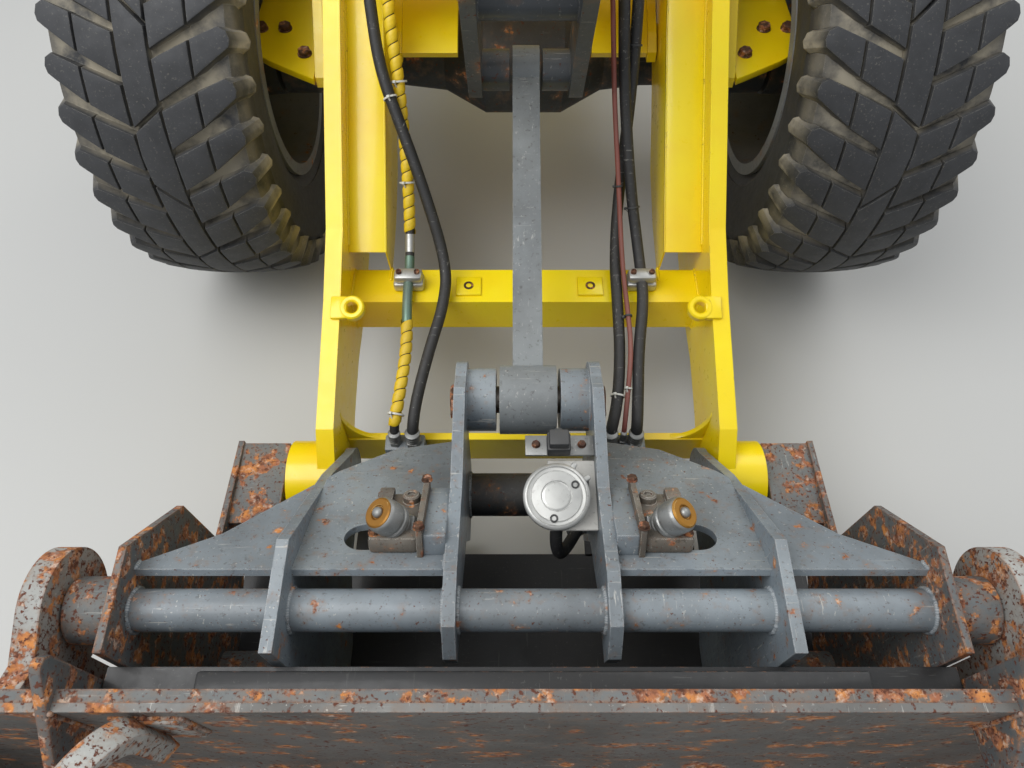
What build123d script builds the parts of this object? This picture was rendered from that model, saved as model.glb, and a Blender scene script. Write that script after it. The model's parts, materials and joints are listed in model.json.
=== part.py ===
from build123d import *
from collections import namedtuple
from math import atan2, cos, degrees, hypot, radians, sin
import os

# Front end of an articulated wheel loader: front frame, axle, two wheels, lift frame with a
# Z-bar tilt linkage, hydraulic quick hitch and the bucket hooked on it.
# Millimetres. X is across the machine, Z is up, and the machine faces -Y.
# Side-view places are written (ahead, up): ahead of the axle's centre line, above the floor.

# Wheels and axle
TYRE_RADIUS = 655.0
TYRE_WIDTH = 450.0
TYRE_LUG_HEIGHT = 34.0
TYRE_SHOULDER_DROP = 26.0
TRACK = 1790.0
RIM_RADIUS = 330.0
RIM_WIDTH = 390.0
RIM_SHEET = 12.0
RIM_FLANGE = 22.0
DISC_THICKNESS = 14.0
HUB_FLANGE_RADIUS = 165.0
HUB_RADIUS = 120.0
SPINDLE_RADIUS = 55.0
SPINDLE_GAP = 0.3
AXLE_ARM_RADIUS = 86.0
DIFFERENTIAL_RADIUS = 165.0
DIFFERENTIAL_HALF_WIDTH = 115.0
BRAKE_RADIUS = 108.0
AXLE = (0.0, TYRE_RADIUS)

# Front frame: a plate inside and a plate outside each lift arm
FRAME_INNER_X = 338.0
FRAME_INNER_PLATE = 24.0
FRAME_OUTER_X = 535.0
FRAME_OUTER_PLATE = 25.0
FRAME_REAR = -1050.0
HINGE_AHEAD = -1170.0
HINGE_PLATE = 40.0
HINGE_UPPER = 960.0
HINGE_LOWER = 470.0
HINGE_BORE_RADIUS = 30.0
HINGE_EYE_RADIUS = 85.0
STEER_LUG = (-930.0, 640.0)
STEER_LUG_REACH = 105.0
STEER_BORE_RADIUS = 17.5
SEAT_TOP = 800.0
SEAT_THICKNESS = 30.0
SEAT_HALF_LENGTH = 150.0
SEAT_OUTER_X = 662.0

# Pivots, all across the machine
LIFT_PIVOT = (-420.0, 1500.0)
ARM_PIVOT = (1254.0, 315.0)
LINK_PIVOT = (1210.0, 630.0)
LEVER_LOW = (375.0, 870.5)
LEVER_PIVOT = (566.0, 1289.0)
LEVER_TOP = (700.0, 1600.0)
LIFT_CYLINDER_BASE = (-420.0, 1020.0)
LIFT_CYLINDER_EYE = (440.0, 620.0)
TILT_CYLINDER_BASE = (-600.0, 1325.0)
PIN_GAP = 0.3
MOVING_GAP = 8.0

# Lift frame
ARM_INNER_X = 465.0
ARM_PLATE = 43.0
ARM_HUB_RADIUS = 88.0
ARM_HUB_IN = 376.0
ARM_HUB_OUT = 525.0
LIFT_PIN_RADIUS = 32.0
FOOT_OUTER_X = 585.0
FOOT_RADIUS = 96.0
ARM_PIN_RADIUS = 30.0
BOX_TUBE = (760.0, 425.0)
BOX_TUBE_SIDE = 112.0
UPPER_TUBE = (110.0, 1015.0)
UPPER_TUBE_RADIUS = 75.0
TUBE_WALL = 12.0
FOOT_PLATE_AHEAD = 1122.0
FOOT_PLATE = 20.0
FOOT_PLATE_TOP = 315.0
FOOT_PLATE_LOW = 205.0
BRACKET_X = 155.0
BRACKET_PLATE = 25.0
LEVER_INNER_X = 110.0
LEVER_PLATE = 35.0
LEVER_BOSS_RADIUS = 66.0
LEVER_PIN_RADIUS = 27.0
LINK_HALF_WIDTH = 33.5
LINK_DEPTH = 66.0
LINK_HUB_RADIUS = 77.0
LINK_HUB_HALF_WIDTH = 62.0
LINK_REAR_RADIUS = 58.0

# Hydraulic cylinders
LIFT_CYLINDER_X = 415.0
LIFT_BARREL_RADIUS = 43.0
LIFT_ROD_RADIUS = 22.5
LIFT_ROD_OUT = 90.0
TILT_BARREL_RADIUS = 55.0
TILT_ROD_RADIUS = 27.5
TILT_ROD_OUT = 400.0
TILT_LUG_X = 62.0
TILT_LUG = 28.0
TILT_PIN_RADIUS = 26.0
LIFT_PISTON = 84.0
TILT_PISTON = 330.0
BARREL_WALL = 8.0
EYE_HALF_WIDTH = 22.0
EYE_RADIUS = 44.0
CYLINDER_PIN_RADIUS = 22.0

# Quick hitch
EAR_X = 133.0
EAR_PLATE = 24.0
EAR_RADIUS = 85.0
HITCH_TUBE = (1700.0, 705.0)
HITCH_TUBE_RADIUS = 38.0
HITCH_TUBE_HALF = 728.0
COLLAR_RADIUS = 60.0
COLLAR_END_X = 816.0
HOOK_PIN_RADIUS = 30.0
HOOK_PIN_END_X = 880.0
LOW_TUBE = (1350.0, 430.0)
LOW_TUBE_RADIUS = 50.0
INNER_PLATE_X = 432.0
INNER_PLATE = 22.0
OUTER_PLATE_X = 714.0
OUTER_PLATE = 14.0
WEB_PLATE = 15.0
WEB_TOP = (1640.0, 752.0)
WEB_LOW = (1250.0, 512.0)
CARRIER_X = 597.0
LOCK_PIN = (1700.0, 200.0)
LOCK_PIN_RADIUS = 28.0
LOCK_HOUSING_RADIUS = 46.0
LOCK_PIN_END_X = 800.0

# Bucket
BUCKET_HALF_WIDTH = 1180.0
BUCKET_BACK = 1880.0
BUCKET_LIP = 2640.0
BUCKET_TOP = 840.0
BUCKET_SHEET = 14.0
BUCKET_SIDE = 16.0
BUCKET_CURVE = 250.0
EDGE_LENGTH = 180.0
EDGE_THICKNESS = 22.0
HOOK_X = 822.0
HOOK_PLATE = 42.0
HOOK_RADIUS = 112.0

# The part's origin is under the middle of its length
FRONT_REACH = BUCKET_LIP
REAR_REACH = HINGE_AHEAD - HINGE_EYE_RADIUS
AXLE_Y = (FRONT_REACH + REAR_REACH) / 2

Place = namedtuple("Place", "ahead up")


def at(place):
    """Side-view place (ahead, up) as local coordinates of the YZ plane."""
    return (AXLE_Y - place[0], place[1])


def outline(points, radius=0.0):
    """Closed side-view face, its corners rounded when a radius is given."""
    places = [at(p) for p in points]
    if radius:
        return make_face(FilletPolyline(*places, radius=radius, close=True))
    return make_face(Polyline(*places, close=True))


def across(face, x0, x1):
    """Push a side-view face from x0 to x1."""
    return extrude(Plane.YZ.offset(x0) * face, x1 - x0)


def plate(points, x0, thickness, radius=0.0):
    return across(outline(points, radius), x0, x0 + thickness)


def round_bar(place, radius, x0, x1, bore=0.0):
    """Round bar or tube that lies across the machine."""
    y, z = at(place)
    face = Pos(y, z) * Circle(radius)
    if bore:
        face -= Pos(y, z) * Circle(bore)
    return across(face, x0, x1)


def strap(ends, x0, x1):
    """Bar with round ends: the hull of the circles in ends, a list of (place, radius)."""
    circles = Sketch() + [Pos(*at(place)) * Circle(radius) for place, radius in ends]
    return across(make_hull(circles.edges()), x0, x1)


def both_sides(shape):
    """The shape and its mirror image about the machine's middle plane."""
    return Compound(children=list(shape.solids()) + list(mirror(shape, about=Plane.YZ).solids()))


def save(shape, name):
    export_step(shape, f"parts/{name}.step")


def box_between(x, ahead, up):
    """Box from its three ranges, each a (low, high) pair."""
    centre = Pos((x[0] + x[1]) / 2, AXLE_Y - (ahead[0] + ahead[1]) / 2, (up[0] + up[1]) / 2)
    return centre * Box(x[1] - x[0], ahead[1] - ahead[0], up[1] - up[0])


# Wheels

def turned(profile, centre_x=0.0, side=1):
    """Ring turned about the axle from (across, radius) points, across being outwards."""
    places = [(centre_x + side * across_, radius) for across_, radius in profile]
    face = Plane.XZ * make_face(Polyline(*places, close=True))
    ring = revolve(face, Axis.X, 360)
    return Pos(0, AXLE_Y, AXLE[1]) * ring


def tyre(side):
    half = TYRE_WIDTH / 2
    tread_half = half - 15
    crown = TYRE_RADIUS
    bead = RIM_WIDTH / 2 - RIM_FLANGE
    wall = 20.0
    profile = [
        (-bead, RIM_RADIUS), (-bead, RIM_RADIUS + RIM_FLANGE), (-half, RIM_RADIUS + 130),
        (-half, crown - 120), (-tread_half, crown - TYRE_SHOULDER_DROP), (-tread_half / 2, crown),
        (tread_half / 2, crown), (tread_half, crown - TYRE_SHOULDER_DROP), (half, crown - 120),
        (half, RIM_RADIUS + 130), (bead, RIM_RADIUS + RIM_FLANGE), (bead, RIM_RADIUS),
        (bead - wall, RIM_RADIUS), (half - wall, RIM_RADIUS + 130), (half - wall, crown - 130),
        (tread_half / 2, crown - 70), (-tread_half / 2, crown - 70), (wall - half, crown - 130),
        (wall - half, RIM_RADIUS + 130), (wall - bead, RIM_RADIUS),
    ]
    return turned(profile, side * TRACK / 2, side)


def rim(side):
    half = RIM_WIDTH / 2
    outer = RIM_RADIUS
    inner = RIM_RADIUS - RIM_SHEET
    dish = 60.0
    bead = half - RIM_FLANGE
    profile = [
        (-half, outer + RIM_FLANGE), (-bead, outer + RIM_FLANGE), (-bead, outer), (bead, outer),
        (bead, outer + RIM_FLANGE), (half, outer + RIM_FLANGE), (half, inner),
        (dish + DISC_THICKNESS, inner), (dish - 45 + DISC_THICKNESS, HUB_FLANGE_RADIUS + 20),
        (dish - 45 + DISC_THICKNESS, HUB_RADIUS + 1), (dish - 45, HUB_RADIUS + 1),
        (dish - 45, HUB_FLANGE_RADIUS + 14), (dish, inner), (-half, inner),
    ]
    return turned(profile, side * TRACK / 2, side)


def hub(side):
    bore = SPINDLE_RADIUS + SPINDLE_GAP
    profile = [
        (-165, bore), (-165, HUB_RADIUS - 10), (-20, HUB_RADIUS), (-20, HUB_FLANGE_RADIUS),
        (15, HUB_FLANGE_RADIUS), (15, HUB_RADIUS), (90, HUB_RADIUS - 8), (110, HUB_RADIUS - 30),
        (110, 0), (62, 0), (62, bore),
    ]
    return turned(profile, side * TRACK / 2, side)


def axle_housing():
    wheel_face = TRACK / 2 - 165 - 12
    spindle_end = TRACK / 2 + 60
    half = [
        (0, DIFFERENTIAL_RADIUS), (DIFFERENTIAL_HALF_WIDTH, DIFFERENTIAL_RADIUS),
        (DIFFERENTIAL_HALF_WIDTH + 120, AXLE_ARM_RADIUS + 14), (360, AXLE_ARM_RADIUS),
        (590, AXLE_ARM_RADIUS), (625, BRAKE_RADIUS), (wheel_face, BRAKE_RADIUS),
        (wheel_face, SPINDLE_RADIUS), (spindle_end, SPINDLE_RADIUS), (spindle_end, 0), (0, 0),
    ]
    right = turned(half)
    body = right + mirror(right, about=Plane.YZ)
    y = AXLE_Y + DIFFERENTIAL_RADIUS * 0.9
    nose = Pos(0, y + 65, AXLE[1]) * Rot(90, 0, 0) * Cone(78, 105, 150)
    flange = Pos(0, y + 150, AXLE[1]) * Rot(90, 0, 0) * Cylinder(68, 24)
    return body + nose + flange


# Front frame

def frame_side_plates():
    pivot = LIFT_PIVOT
    inner = outline([
        (FRAME_REAR, 430), (FRAME_REAR, 1010), (-620, 1560), (-500, 1625), (-340, 1625),
        (-285, 1500), (-190, 1090), (-90, 930), (150, 830), (200, SEAT_TOP),
        (200, SEAT_TOP - SEAT_THICKNESS), (120, SEAT_TOP - SEAT_THICKNESS),
        (-160, SEAT_TOP - SEAT_THICKNESS), (-330, 560), (-420, 430),
    ])
    outer = outline([
        (FRAME_REAR, 430), (FRAME_REAR, 1010), (-620, 1560), (-500, 1625), (-340, 1625),
        (-250, 1500), (-60, 1130), (310, SEAT_TOP), (310, SEAT_TOP - SEAT_THICKNESS),
        (-160, SEAT_TOP - SEAT_THICKNESS), (-330, 560), (-420, 430),
    ])
    pair = across(inner, FRAME_INNER_X, FRAME_INNER_X + FRAME_INNER_PLATE)
    pair += across(outer, FRAME_OUTER_X, FRAME_OUTER_X + FRAME_OUTER_PLATE)
    reach = (FRAME_INNER_X - 5, FRAME_OUTER_X + FRAME_OUTER_PLATE + 5)
    pair -= round_bar(pivot, LIFT_PIN_RADIUS + PIN_GAP, *reach)
    pair -= round_bar(LIFT_CYLINDER_BASE, CYLINDER_PIN_RADIUS + PIN_GAP, *reach)
    return both_sides(pair)


def frame_cross_plates():
    inside = FRAME_INNER_X
    rear = box_between((-inside, inside), (FRAME_REAR, FRAME_REAR + 25), (430, 1010))
    top = plate([(-1000, 1072), (-985, 1057), (-685, 1425), (-700, 1440)], -inside, 2 * inside)
    floor = box_between((-inside, inside), (FRAME_REAR + 25.3, -420), (430, 455))
    front = plate([(-300, 775), (-275, 775), (-275, 1000), (-300, 1000)], -inside, 2 * inside)
    shelf = plate([(-80, 905), (-70, 925), (195, 795), (185, 775)], 185, inside - 185)
    return Compound(children=[rear, top, floor, front, *both_sides(shelf).solids()])


def tilt_base_lugs():
    """Two lugs that carry the tilt cylinder's base pin, on the sloping top plate."""
    end = TILT_LUG_X + TILT_LUG
    ahead, up = TILT_CYLINDER_BASE
    lug = round_bar(TILT_CYLINDER_BASE, 62, TILT_LUG_X, end)
    lug += plate([(-841, 1233.6), (-721, 1380.8), (ahead, up + 62), (ahead, up - 62)],
                 TILT_LUG_X, TILT_LUG)
    lug -= round_bar(TILT_CYLINDER_BASE, TILT_PIN_RADIUS + PIN_GAP, TILT_LUG_X - 5, end + 5)
    return both_sides(lug)


def axle_seats():
    outside = FRAME_OUTER_X + FRAME_OUTER_PLATE
    low = AXLE[1] + AXLE_ARM_RADIUS
    pad = box_between((outside, SEAT_OUTER_X), (-SEAT_HALF_LENGTH, SEAT_HALF_LENGTH),
                      (SEAT_TOP - SEAT_THICKNESS, SEAT_TOP))
    saddle = box_between((FRAME_OUTER_X, outside + 28), (-70, 70),
                         (low - 25, SEAT_TOP - SEAT_THICKNESS))
    saddle -= round_bar(AXLE, AXLE_ARM_RADIUS + PIN_GAP, FRAME_OUTER_X - 5, outside + 40)
    inner = box_between((FRAME_INNER_X, FRAME_INNER_X + FRAME_INNER_PLATE), (-70, 70),
                        (low - 25, SEAT_TOP - SEAT_THICKNESS))
    inner -= turned([(0, 0), (0, 130), (300, AXLE_ARM_RADIUS + 8), (420, AXLE_ARM_RADIUS + 1),
                     (420, 0)])
    return both_sides(Compound(children=[pad, *saddle.solids(), *inner.solids()]))


def hinge_plates():
    eye_y = AXLE_Y - HINGE_AHEAD
    root_y = AXLE_Y - FRAME_REAR
    tongue = make_hull((Sketch() + Pos(0, eye_y) * Circle(HINGE_EYE_RADIUS)
                        + Pos(0, root_y + 5) * Rectangle(2 * FRAME_INNER_X, 10)).edges())
    tongue -= Pos(0, eye_y) * Circle(HINGE_BORE_RADIUS)
    shapes = []
    for height in (HINGE_LOWER, HINGE_UPPER):
        shapes += (Pos(0, 0, height - HINGE_PLATE / 2) * extrude(tongue, HINGE_PLATE)).solids()
    lug_y, lug_z = at(STEER_LUG)
    lug_x = FRAME_OUTER_X + FRAME_OUTER_PLATE
    lug = make_hull((Sketch() + Pos(lug_x + STEER_LUG_REACH - 40, lug_y) * Circle(40)
                     + Pos(lug_x + 5, lug_y) * Rectangle(10, 150)).edges())
    lug -= Pos(lug_x + STEER_LUG_REACH - 40, lug_y) * Circle(STEER_BORE_RADIUS)
    steering = Pos(0, 0, lug_z) * extrude(lug, 30)
    return Compound(children=shapes + list(both_sides(steering).solids()))


def frame_pins():
    outer = FRAME_OUTER_X + FRAME_OUTER_PLATE
    lift = round_bar(LIFT_PIVOT, LIFT_PIN_RADIUS, FRAME_INNER_X, outer + 12)
    base = round_bar(LIFT_CYLINDER_BASE, CYLINDER_PIN_RADIUS, FRAME_INNER_X, outer + 12)
    tilt_end = TILT_LUG_X + TILT_LUG + 10
    tilt = round_bar(TILT_CYLINDER_BASE, TILT_PIN_RADIUS, -tilt_end, tilt_end)
    return Compound(children=[*both_sides(Compound(children=[lift, base])).solids(), tilt])


# Lift frame

def arm_outline():
    return outline([
        (-478, 1430), (-356, 1562), (264, 989), (720, 657), (890, 581), (1200, 475),
        (1300, 385), (1320, 250), (1205, 208), (1040, 272), (886, 308), (674, 310),
        (446, 365), (330, 520), (230, 750), (100, 870),
    ])


def lift_arm():
    outer = ARM_INNER_X + ARM_PLATE
    arm = across(arm_outline(), ARM_INNER_X, outer)
    arm += round_bar(LIFT_PIVOT, ARM_HUB_RADIUS, ARM_HUB_IN, ARM_HUB_OUT)
    arm += round_bar(ARM_PIVOT, FOOT_RADIUS, ARM_INNER_X, FOOT_OUTER_X)
    arm += round_bar(LIFT_CYLINDER_EYE, 50, LIFT_CYLINDER_X + EYE_HALF_WIDTH + MOVING_GAP,
                     ARM_INNER_X)
    arm -= round_bar(LIFT_PIVOT, LIFT_PIN_RADIUS + PIN_GAP, ARM_HUB_IN - 5, ARM_HUB_OUT + 5)
    arm -= round_bar(ARM_PIVOT, ARM_PIN_RADIUS + PIN_GAP, ARM_INNER_X - 5, FOOT_OUTER_X + 5)
    return arm


def box_cross_tube():
    outside = Pos(*at(BOX_TUBE)) * Rectangle(BOX_TUBE_SIDE, BOX_TUBE_SIDE)
    inside = Pos(*at(BOX_TUBE)) * Rectangle(BOX_TUBE_SIDE - 2 * TUBE_WALL,
                                            BOX_TUBE_SIDE - 2 * TUBE_WALL)
    return across(outside - inside, -ARM_INNER_X, ARM_INNER_X)


def upper_cross_tube():
    return round_bar(UPPER_TUBE, UPPER_TUBE_RADIUS, -ARM_INNER_X, ARM_INNER_X,
                     UPPER_TUBE_RADIUS - TUBE_WALL)


def rocker_brackets():
    shape = strap([(UPPER_TUBE, UPPER_TUBE_RADIUS + 30), (LEVER_PIVOT, 62)],
                  BRACKET_X, BRACKET_X + BRACKET_PLATE)
    shape -= round_bar(UPPER_TUBE, UPPER_TUBE_RADIUS + PIN_GAP, BRACKET_X - 5, BRACKET_X + 60)
    return both_sides(shape)


def lever_pin():
    return round_bar(LEVER_PIVOT, LEVER_PIN_RADIUS, -BRACKET_X, BRACKET_X)


def foot_cross_plate():
    return box_between((-ARM_INNER_X, ARM_INNER_X),
                       (FOOT_PLATE_AHEAD, FOOT_PLATE_AHEAD + FOOT_PLATE),
                       (FOOT_PLATE_LOW, FOOT_PLATE_TOP))


# Tilt linkage

def tilt_lever():
    side = strap([(LEVER_LOW, LEVER_BOSS_RADIUS), (LEVER_PIVOT, 74)],
                 LEVER_INNER_X, LEVER_INNER_X + LEVER_PLATE)
    side += strap([(LEVER_TOP, 60), (LEVER_PIVOT, 74)], LEVER_INNER_X,
                  LEVER_INNER_X + LEVER_PLATE)
    side += round_bar(LEVER_LOW, 50, LINK_HALF_WIDTH + MOVING_GAP, LEVER_INNER_X)
    side += round_bar(LEVER_TOP, 44, EYE_HALF_WIDTH + MOVING_GAP + 6, LEVER_INNER_X)
    lever = side + mirror(side, about=Plane.YZ)
    middle = (LEVER_PIVOT[0] - 71, LEVER_PIVOT[1] - 159)
    lever += round_bar(middle, 42, -LEVER_INNER_X, LEVER_INNER_X)
    lever += round_bar(LEVER_PIVOT, 60, -LEVER_INNER_X, LEVER_INNER_X)
    reach = LEVER_INNER_X + LEVER_PLATE + 5
    return lever - round_bar(LEVER_PIVOT, LEVER_PIN_RADIUS + PIN_GAP, -reach, reach)


def tilt_link():
    bar = strap([(LINK_PIVOT, LINK_DEPTH / 2), (LEVER_LOW, LINK_DEPTH / 2)],
                -LINK_HALF_WIDTH, LINK_HALF_WIDTH)
    bar += round_bar(LINK_PIVOT, LINK_HUB_RADIUS, -LINK_HUB_HALF_WIDTH, LINK_HUB_HALF_WIDTH)
    bar += round_bar(LEVER_LOW, LINK_REAR_RADIUS, -LINK_HALF_WIDTH, LINK_HALF_WIDTH)
    reach = LINK_HUB_HALF_WIDTH + 5
    bar -= round_bar(LINK_PIVOT, ARM_PIN_RADIUS + PIN_GAP, -reach, reach)
    return bar - round_bar(LEVER_LOW, LEVER_PIN_RADIUS, -reach, reach)


# Hydraulic cylinders

def along(base, eye, x):
    """Frame on a cylinder's base pin, its Z axis towards the eye."""
    y0, z0 = at(base)
    y1, z1 = at(eye)
    return Plane(origin=(x, y0, z0), x_dir=(1, 0, 0), z_dir=(0, y1 - y0, z1 - z0))


def distance(base, eye):
    return hypot(eye[0] - base[0], eye[1] - base[1])


def barrel(base, eye, x, radius, rod_radius, extended, pin_radius):
    """Cylinder tube with its base eye, open inside, its gland at the rod's end."""
    length = distance(base, eye) - extended - EYE_RADIUS - 25
    start = EYE_RADIUS - 8
    bore = radius - BARREL_WALL
    tube = Pos(0, 0, start) * Cylinder(radius, length - start, align=(Align.CENTER,) * 2
                                       + (Align.MIN,))
    tube -= Pos(0, 0, start + 30) * Cylinder(bore, length - start - 60,
                                             align=(Align.CENTER,) * 2 + (Align.MIN,))
    tube -= Pos(0, 0, start + 30) * Cylinder(rod_radius + PIN_GAP, length,
                                             align=(Align.CENTER,) * 2 + (Align.MIN,))
    eye_bar = Rot(0, 90, 0) * Cylinder(EYE_RADIUS, 2 * EYE_HALF_WIDTH)
    shape = tube + eye_bar
    shape -= Rot(0, 90, 0) * Cylinder(pin_radius + PIN_GAP, 2 * EYE_HALF_WIDTH + 10)
    return along(base, eye, x) * shape


def rod(base, eye, x, radius, rod_radius, start, bore):
    """Piston rod with its eye, the piston at start from the base pin."""
    full = distance(base, eye)
    shape = Pos(0, 0, start) * Cylinder(rod_radius, full - start - EYE_RADIUS + 8,
                                        align=(Align.CENTER,) * 2 + (Align.MIN,))
    shape += Pos(0, 0, start) * Cylinder(radius - BARREL_WALL - PIN_GAP, 40,
                                         align=(Align.CENTER,) * 2 + (Align.MIN,))
    shape += Pos(0, 0, full) * Rot(0, 90, 0) * Cylinder(EYE_RADIUS, 2 * EYE_HALF_WIDTH)
    shape -= Pos(0, 0, full) * Rot(0, 90, 0) * Cylinder(bore, 2 * EYE_HALF_WIDTH + 10)
    return along(base, eye, x) * shape


# Quick hitch

def hitch_ears():
    ear = outline([
        (1150, 690), (1244, 735), (1461, 712), (1650, 770), (1745, 765), (1785, 700),
        (1778, 643), (1640, 610), (1500, 520), (1440, 370), (1310, 360), (1272, 420),
        (1262, 560), (1180, 560),
    ])
    shape = across(ear, EAR_X, EAR_X + EAR_PLATE)
    shape += round_bar(LINK_PIVOT, EAR_RADIUS, EAR_X, EAR_X + EAR_PLATE)
    shape += round_bar(LINK_PIVOT, 70, LINK_HUB_HALF_WIDTH + MOVING_GAP, EAR_X)
    reach = (EAR_X - 80, EAR_X + EAR_PLATE + 5)
    shape -= round_bar(LINK_PIVOT, ARM_PIN_RADIUS + PIN_GAP, *reach)
    shape -= round_bar(HITCH_TUBE, HITCH_TUBE_RADIUS + PIN_GAP, *reach)
    shape -= round_bar(LOW_TUBE, LOW_TUBE_RADIUS + PIN_GAP, *reach)
    return both_sides(shape)


def hitch_pins():
    """Pin of the tilt link, and a pin at each lift arm's foot."""
    link = round_bar(LINK_PIVOT, ARM_PIN_RADIUS, -EAR_X - EAR_PLATE, EAR_X + EAR_PLATE)
    foot = round_bar(ARM_PIVOT, ARM_PIN_RADIUS, INNER_PLATE_X, OUTER_PLATE_X - 20)
    return Compound(children=[link, *both_sides(foot).solids()])


def hitch_tube():
    return round_bar(HITCH_TUBE, HITCH_TUBE_RADIUS, -HITCH_TUBE_HALF, HITCH_TUBE_HALF)


def hitch_low_tube():
    return round_bar(LOW_TUBE, LOW_TUBE_RADIUS, -INNER_PLATE_X, INNER_PLATE_X,
                     LOW_TUBE_RADIUS - TUBE_WALL)


def hitch_inner_plates():
    face = outline([
        (1210, 378), (1360, 560), (1600, 795), (1795, 790), (1795, 130), (1620, 130),
        (1450, 250), (1290, 250), (1200, 290),
    ])
    shape = across(face, INNER_PLATE_X, INNER_PLATE_X + INNER_PLATE)
    shape += round_bar(ARM_PIVOT, 78, INNER_PLATE_X, INNER_PLATE_X + INNER_PLATE)
    reach = (INNER_PLATE_X - 5, INNER_PLATE_X + INNER_PLATE + 5)
    shape -= round_bar(HITCH_TUBE, HITCH_TUBE_RADIUS + PIN_GAP, *reach)
    shape -= round_bar(ARM_PIVOT, ARM_PIN_RADIUS + PIN_GAP, *reach)
    return both_sides(shape)


def hitch_outer_plates():
    face = outline([
        (1175, 225), (1175, 370), (1450, 390), (1460, 620), (1615, 800), (1795, 790),
        (1795, 130), (1620, 130), (1400, 215),
    ])
    shape = across(face, OUTER_PLATE_X, OUTER_PLATE_X + OUTER_PLATE)
    reach = (OUTER_PLATE_X - 5, OUTER_PLATE_X + OUTER_PLATE + 5)
    shape -= round_bar(HITCH_TUBE, HITCH_TUBE_RADIUS + PIN_GAP, *reach)
    shape -= round_bar(LOCK_PIN, LOCK_PIN_RADIUS + PIN_GAP, *reach)
    return both_sides(shape)


def hitch_web():
    """Sloping web on each side of the ears, with an oval window beside the tube."""
    run = hypot(WEB_TOP[0] - WEB_LOW[0], WEB_TOP[1] - WEB_LOW[1])
    y, z = at(WEB_TOP)
    slope = atan2(WEB_TOP[1] - WEB_LOW[1], WEB_TOP[0] - WEB_LOW[0])
    frame = Plane(origin=(0, y, z), x_dir=(1, 0, 0), z_dir=(0, sin(slope), cos(slope)))
    inside = EAR_X + EAR_PLATE
    half = make_face(Polyline(
        (inside, 0), (OUTER_PLATE_X, 0), (OUTER_PLATE_X, 20), (590, 105), (409, run - 130),
        (300, run - 40), (inside, run), close=True))
    half -= Pos(265, 95) * SlotOverall(180, 80)
    half -= Pos(INNER_PLATE_X + INNER_PLATE / 2, 0) * Rectangle(INNER_PLATE, 4 * run)
    shape = extrude(frame * half, -WEB_PLATE)
    return both_sides(shape)


def hitch_collars():
    start = OUTER_PLATE_X + OUTER_PLATE
    shape = round_bar(HITCH_TUBE, COLLAR_RADIUS, start, COLLAR_END_X)
    shape += round_bar(HITCH_TUBE, HOOK_PIN_RADIUS, COLLAR_END_X, HOOK_PIN_END_X)
    return both_sides(shape)


def pin_carriers():
    """Closed boxes that hold the foot pins between the lift arm and the outer plate."""
    shape = box_between((CARRIER_X, OUTER_PLATE_X), (1180, 1395), (228, 366))
    shape -= round_bar(ARM_PIVOT, ARM_PIN_RADIUS + PIN_GAP, CARRIER_X - 5, OUTER_PLATE_X)
    return both_sides(shape)


def lock_housings():
    shape = round_bar(LOCK_PIN, LOCK_HOUSING_RADIUS, INNER_PLATE_X + INNER_PLATE, OUTER_PLATE_X,
                      LOCK_PIN_RADIUS + PIN_GAP)
    return both_sides(shape)


def lock_pins():
    return both_sides(round_bar(LOCK_PIN, LOCK_PIN_RADIUS, CARRIER_X, LOCK_PIN_END_X))


# Bucket

def bucket_shell():
    back = BUCKET_BACK
    sheet = BUCKET_SHEET
    outside = outline([
        (back, 0), (back, BUCKET_TOP), (back + 900, BUCKET_TOP), (back + 900, 0)])
    curve = BUCKET_CURVE
    lip = BUCKET_LIP - EDGE_LENGTH
    skin = FilletPolyline(*[at(p) for p in [(back, BUCKET_TOP), (back, 0), (lip, 0)]],
                          radius=curve)
    inner = FilletPolyline(*[at(p) for p in [(lip, sheet), (back + sheet, sheet),
                                             (back + sheet, BUCKET_TOP)]],
                           radius=curve - sheet)
    ends = [Line(skin @ 1, inner @ 0), Line(inner @ 1, skin @ 0)]
    face = make_face(Curve() + [skin, inner, *ends])
    return across(face & outside, -BUCKET_HALF_WIDTH + BUCKET_SIDE,
                  BUCKET_HALF_WIDTH - BUCKET_SIDE)


def bucket_sides():
    back = BUCKET_BACK
    points = [(back, BUCKET_CURVE * 0.3), (back, BUCKET_TOP), (back + 90, BUCKET_TOP),
              (BUCKET_LIP - 60, 70), (BUCKET_LIP - 20, 0), (back + BUCKET_CURVE * 0.3, 0)]
    return both_sides(plate(points, BUCKET_HALF_WIDTH - BUCKET_SIDE, BUCKET_SIDE))


def bucket_edge():
    """Bevelled cutting edge, flush with the bucket's floor."""
    lip = BUCKET_LIP
    face = outline([(lip - EDGE_LENGTH, 0), (lip, 0), (lip - 30, EDGE_THICKNESS),
                    (lip - EDGE_LENGTH, EDGE_THICKNESS)])
    return across(face, -BUCKET_HALF_WIDTH + BUCKET_SIDE, BUCKET_HALF_WIDTH - BUCKET_SIDE)


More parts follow.
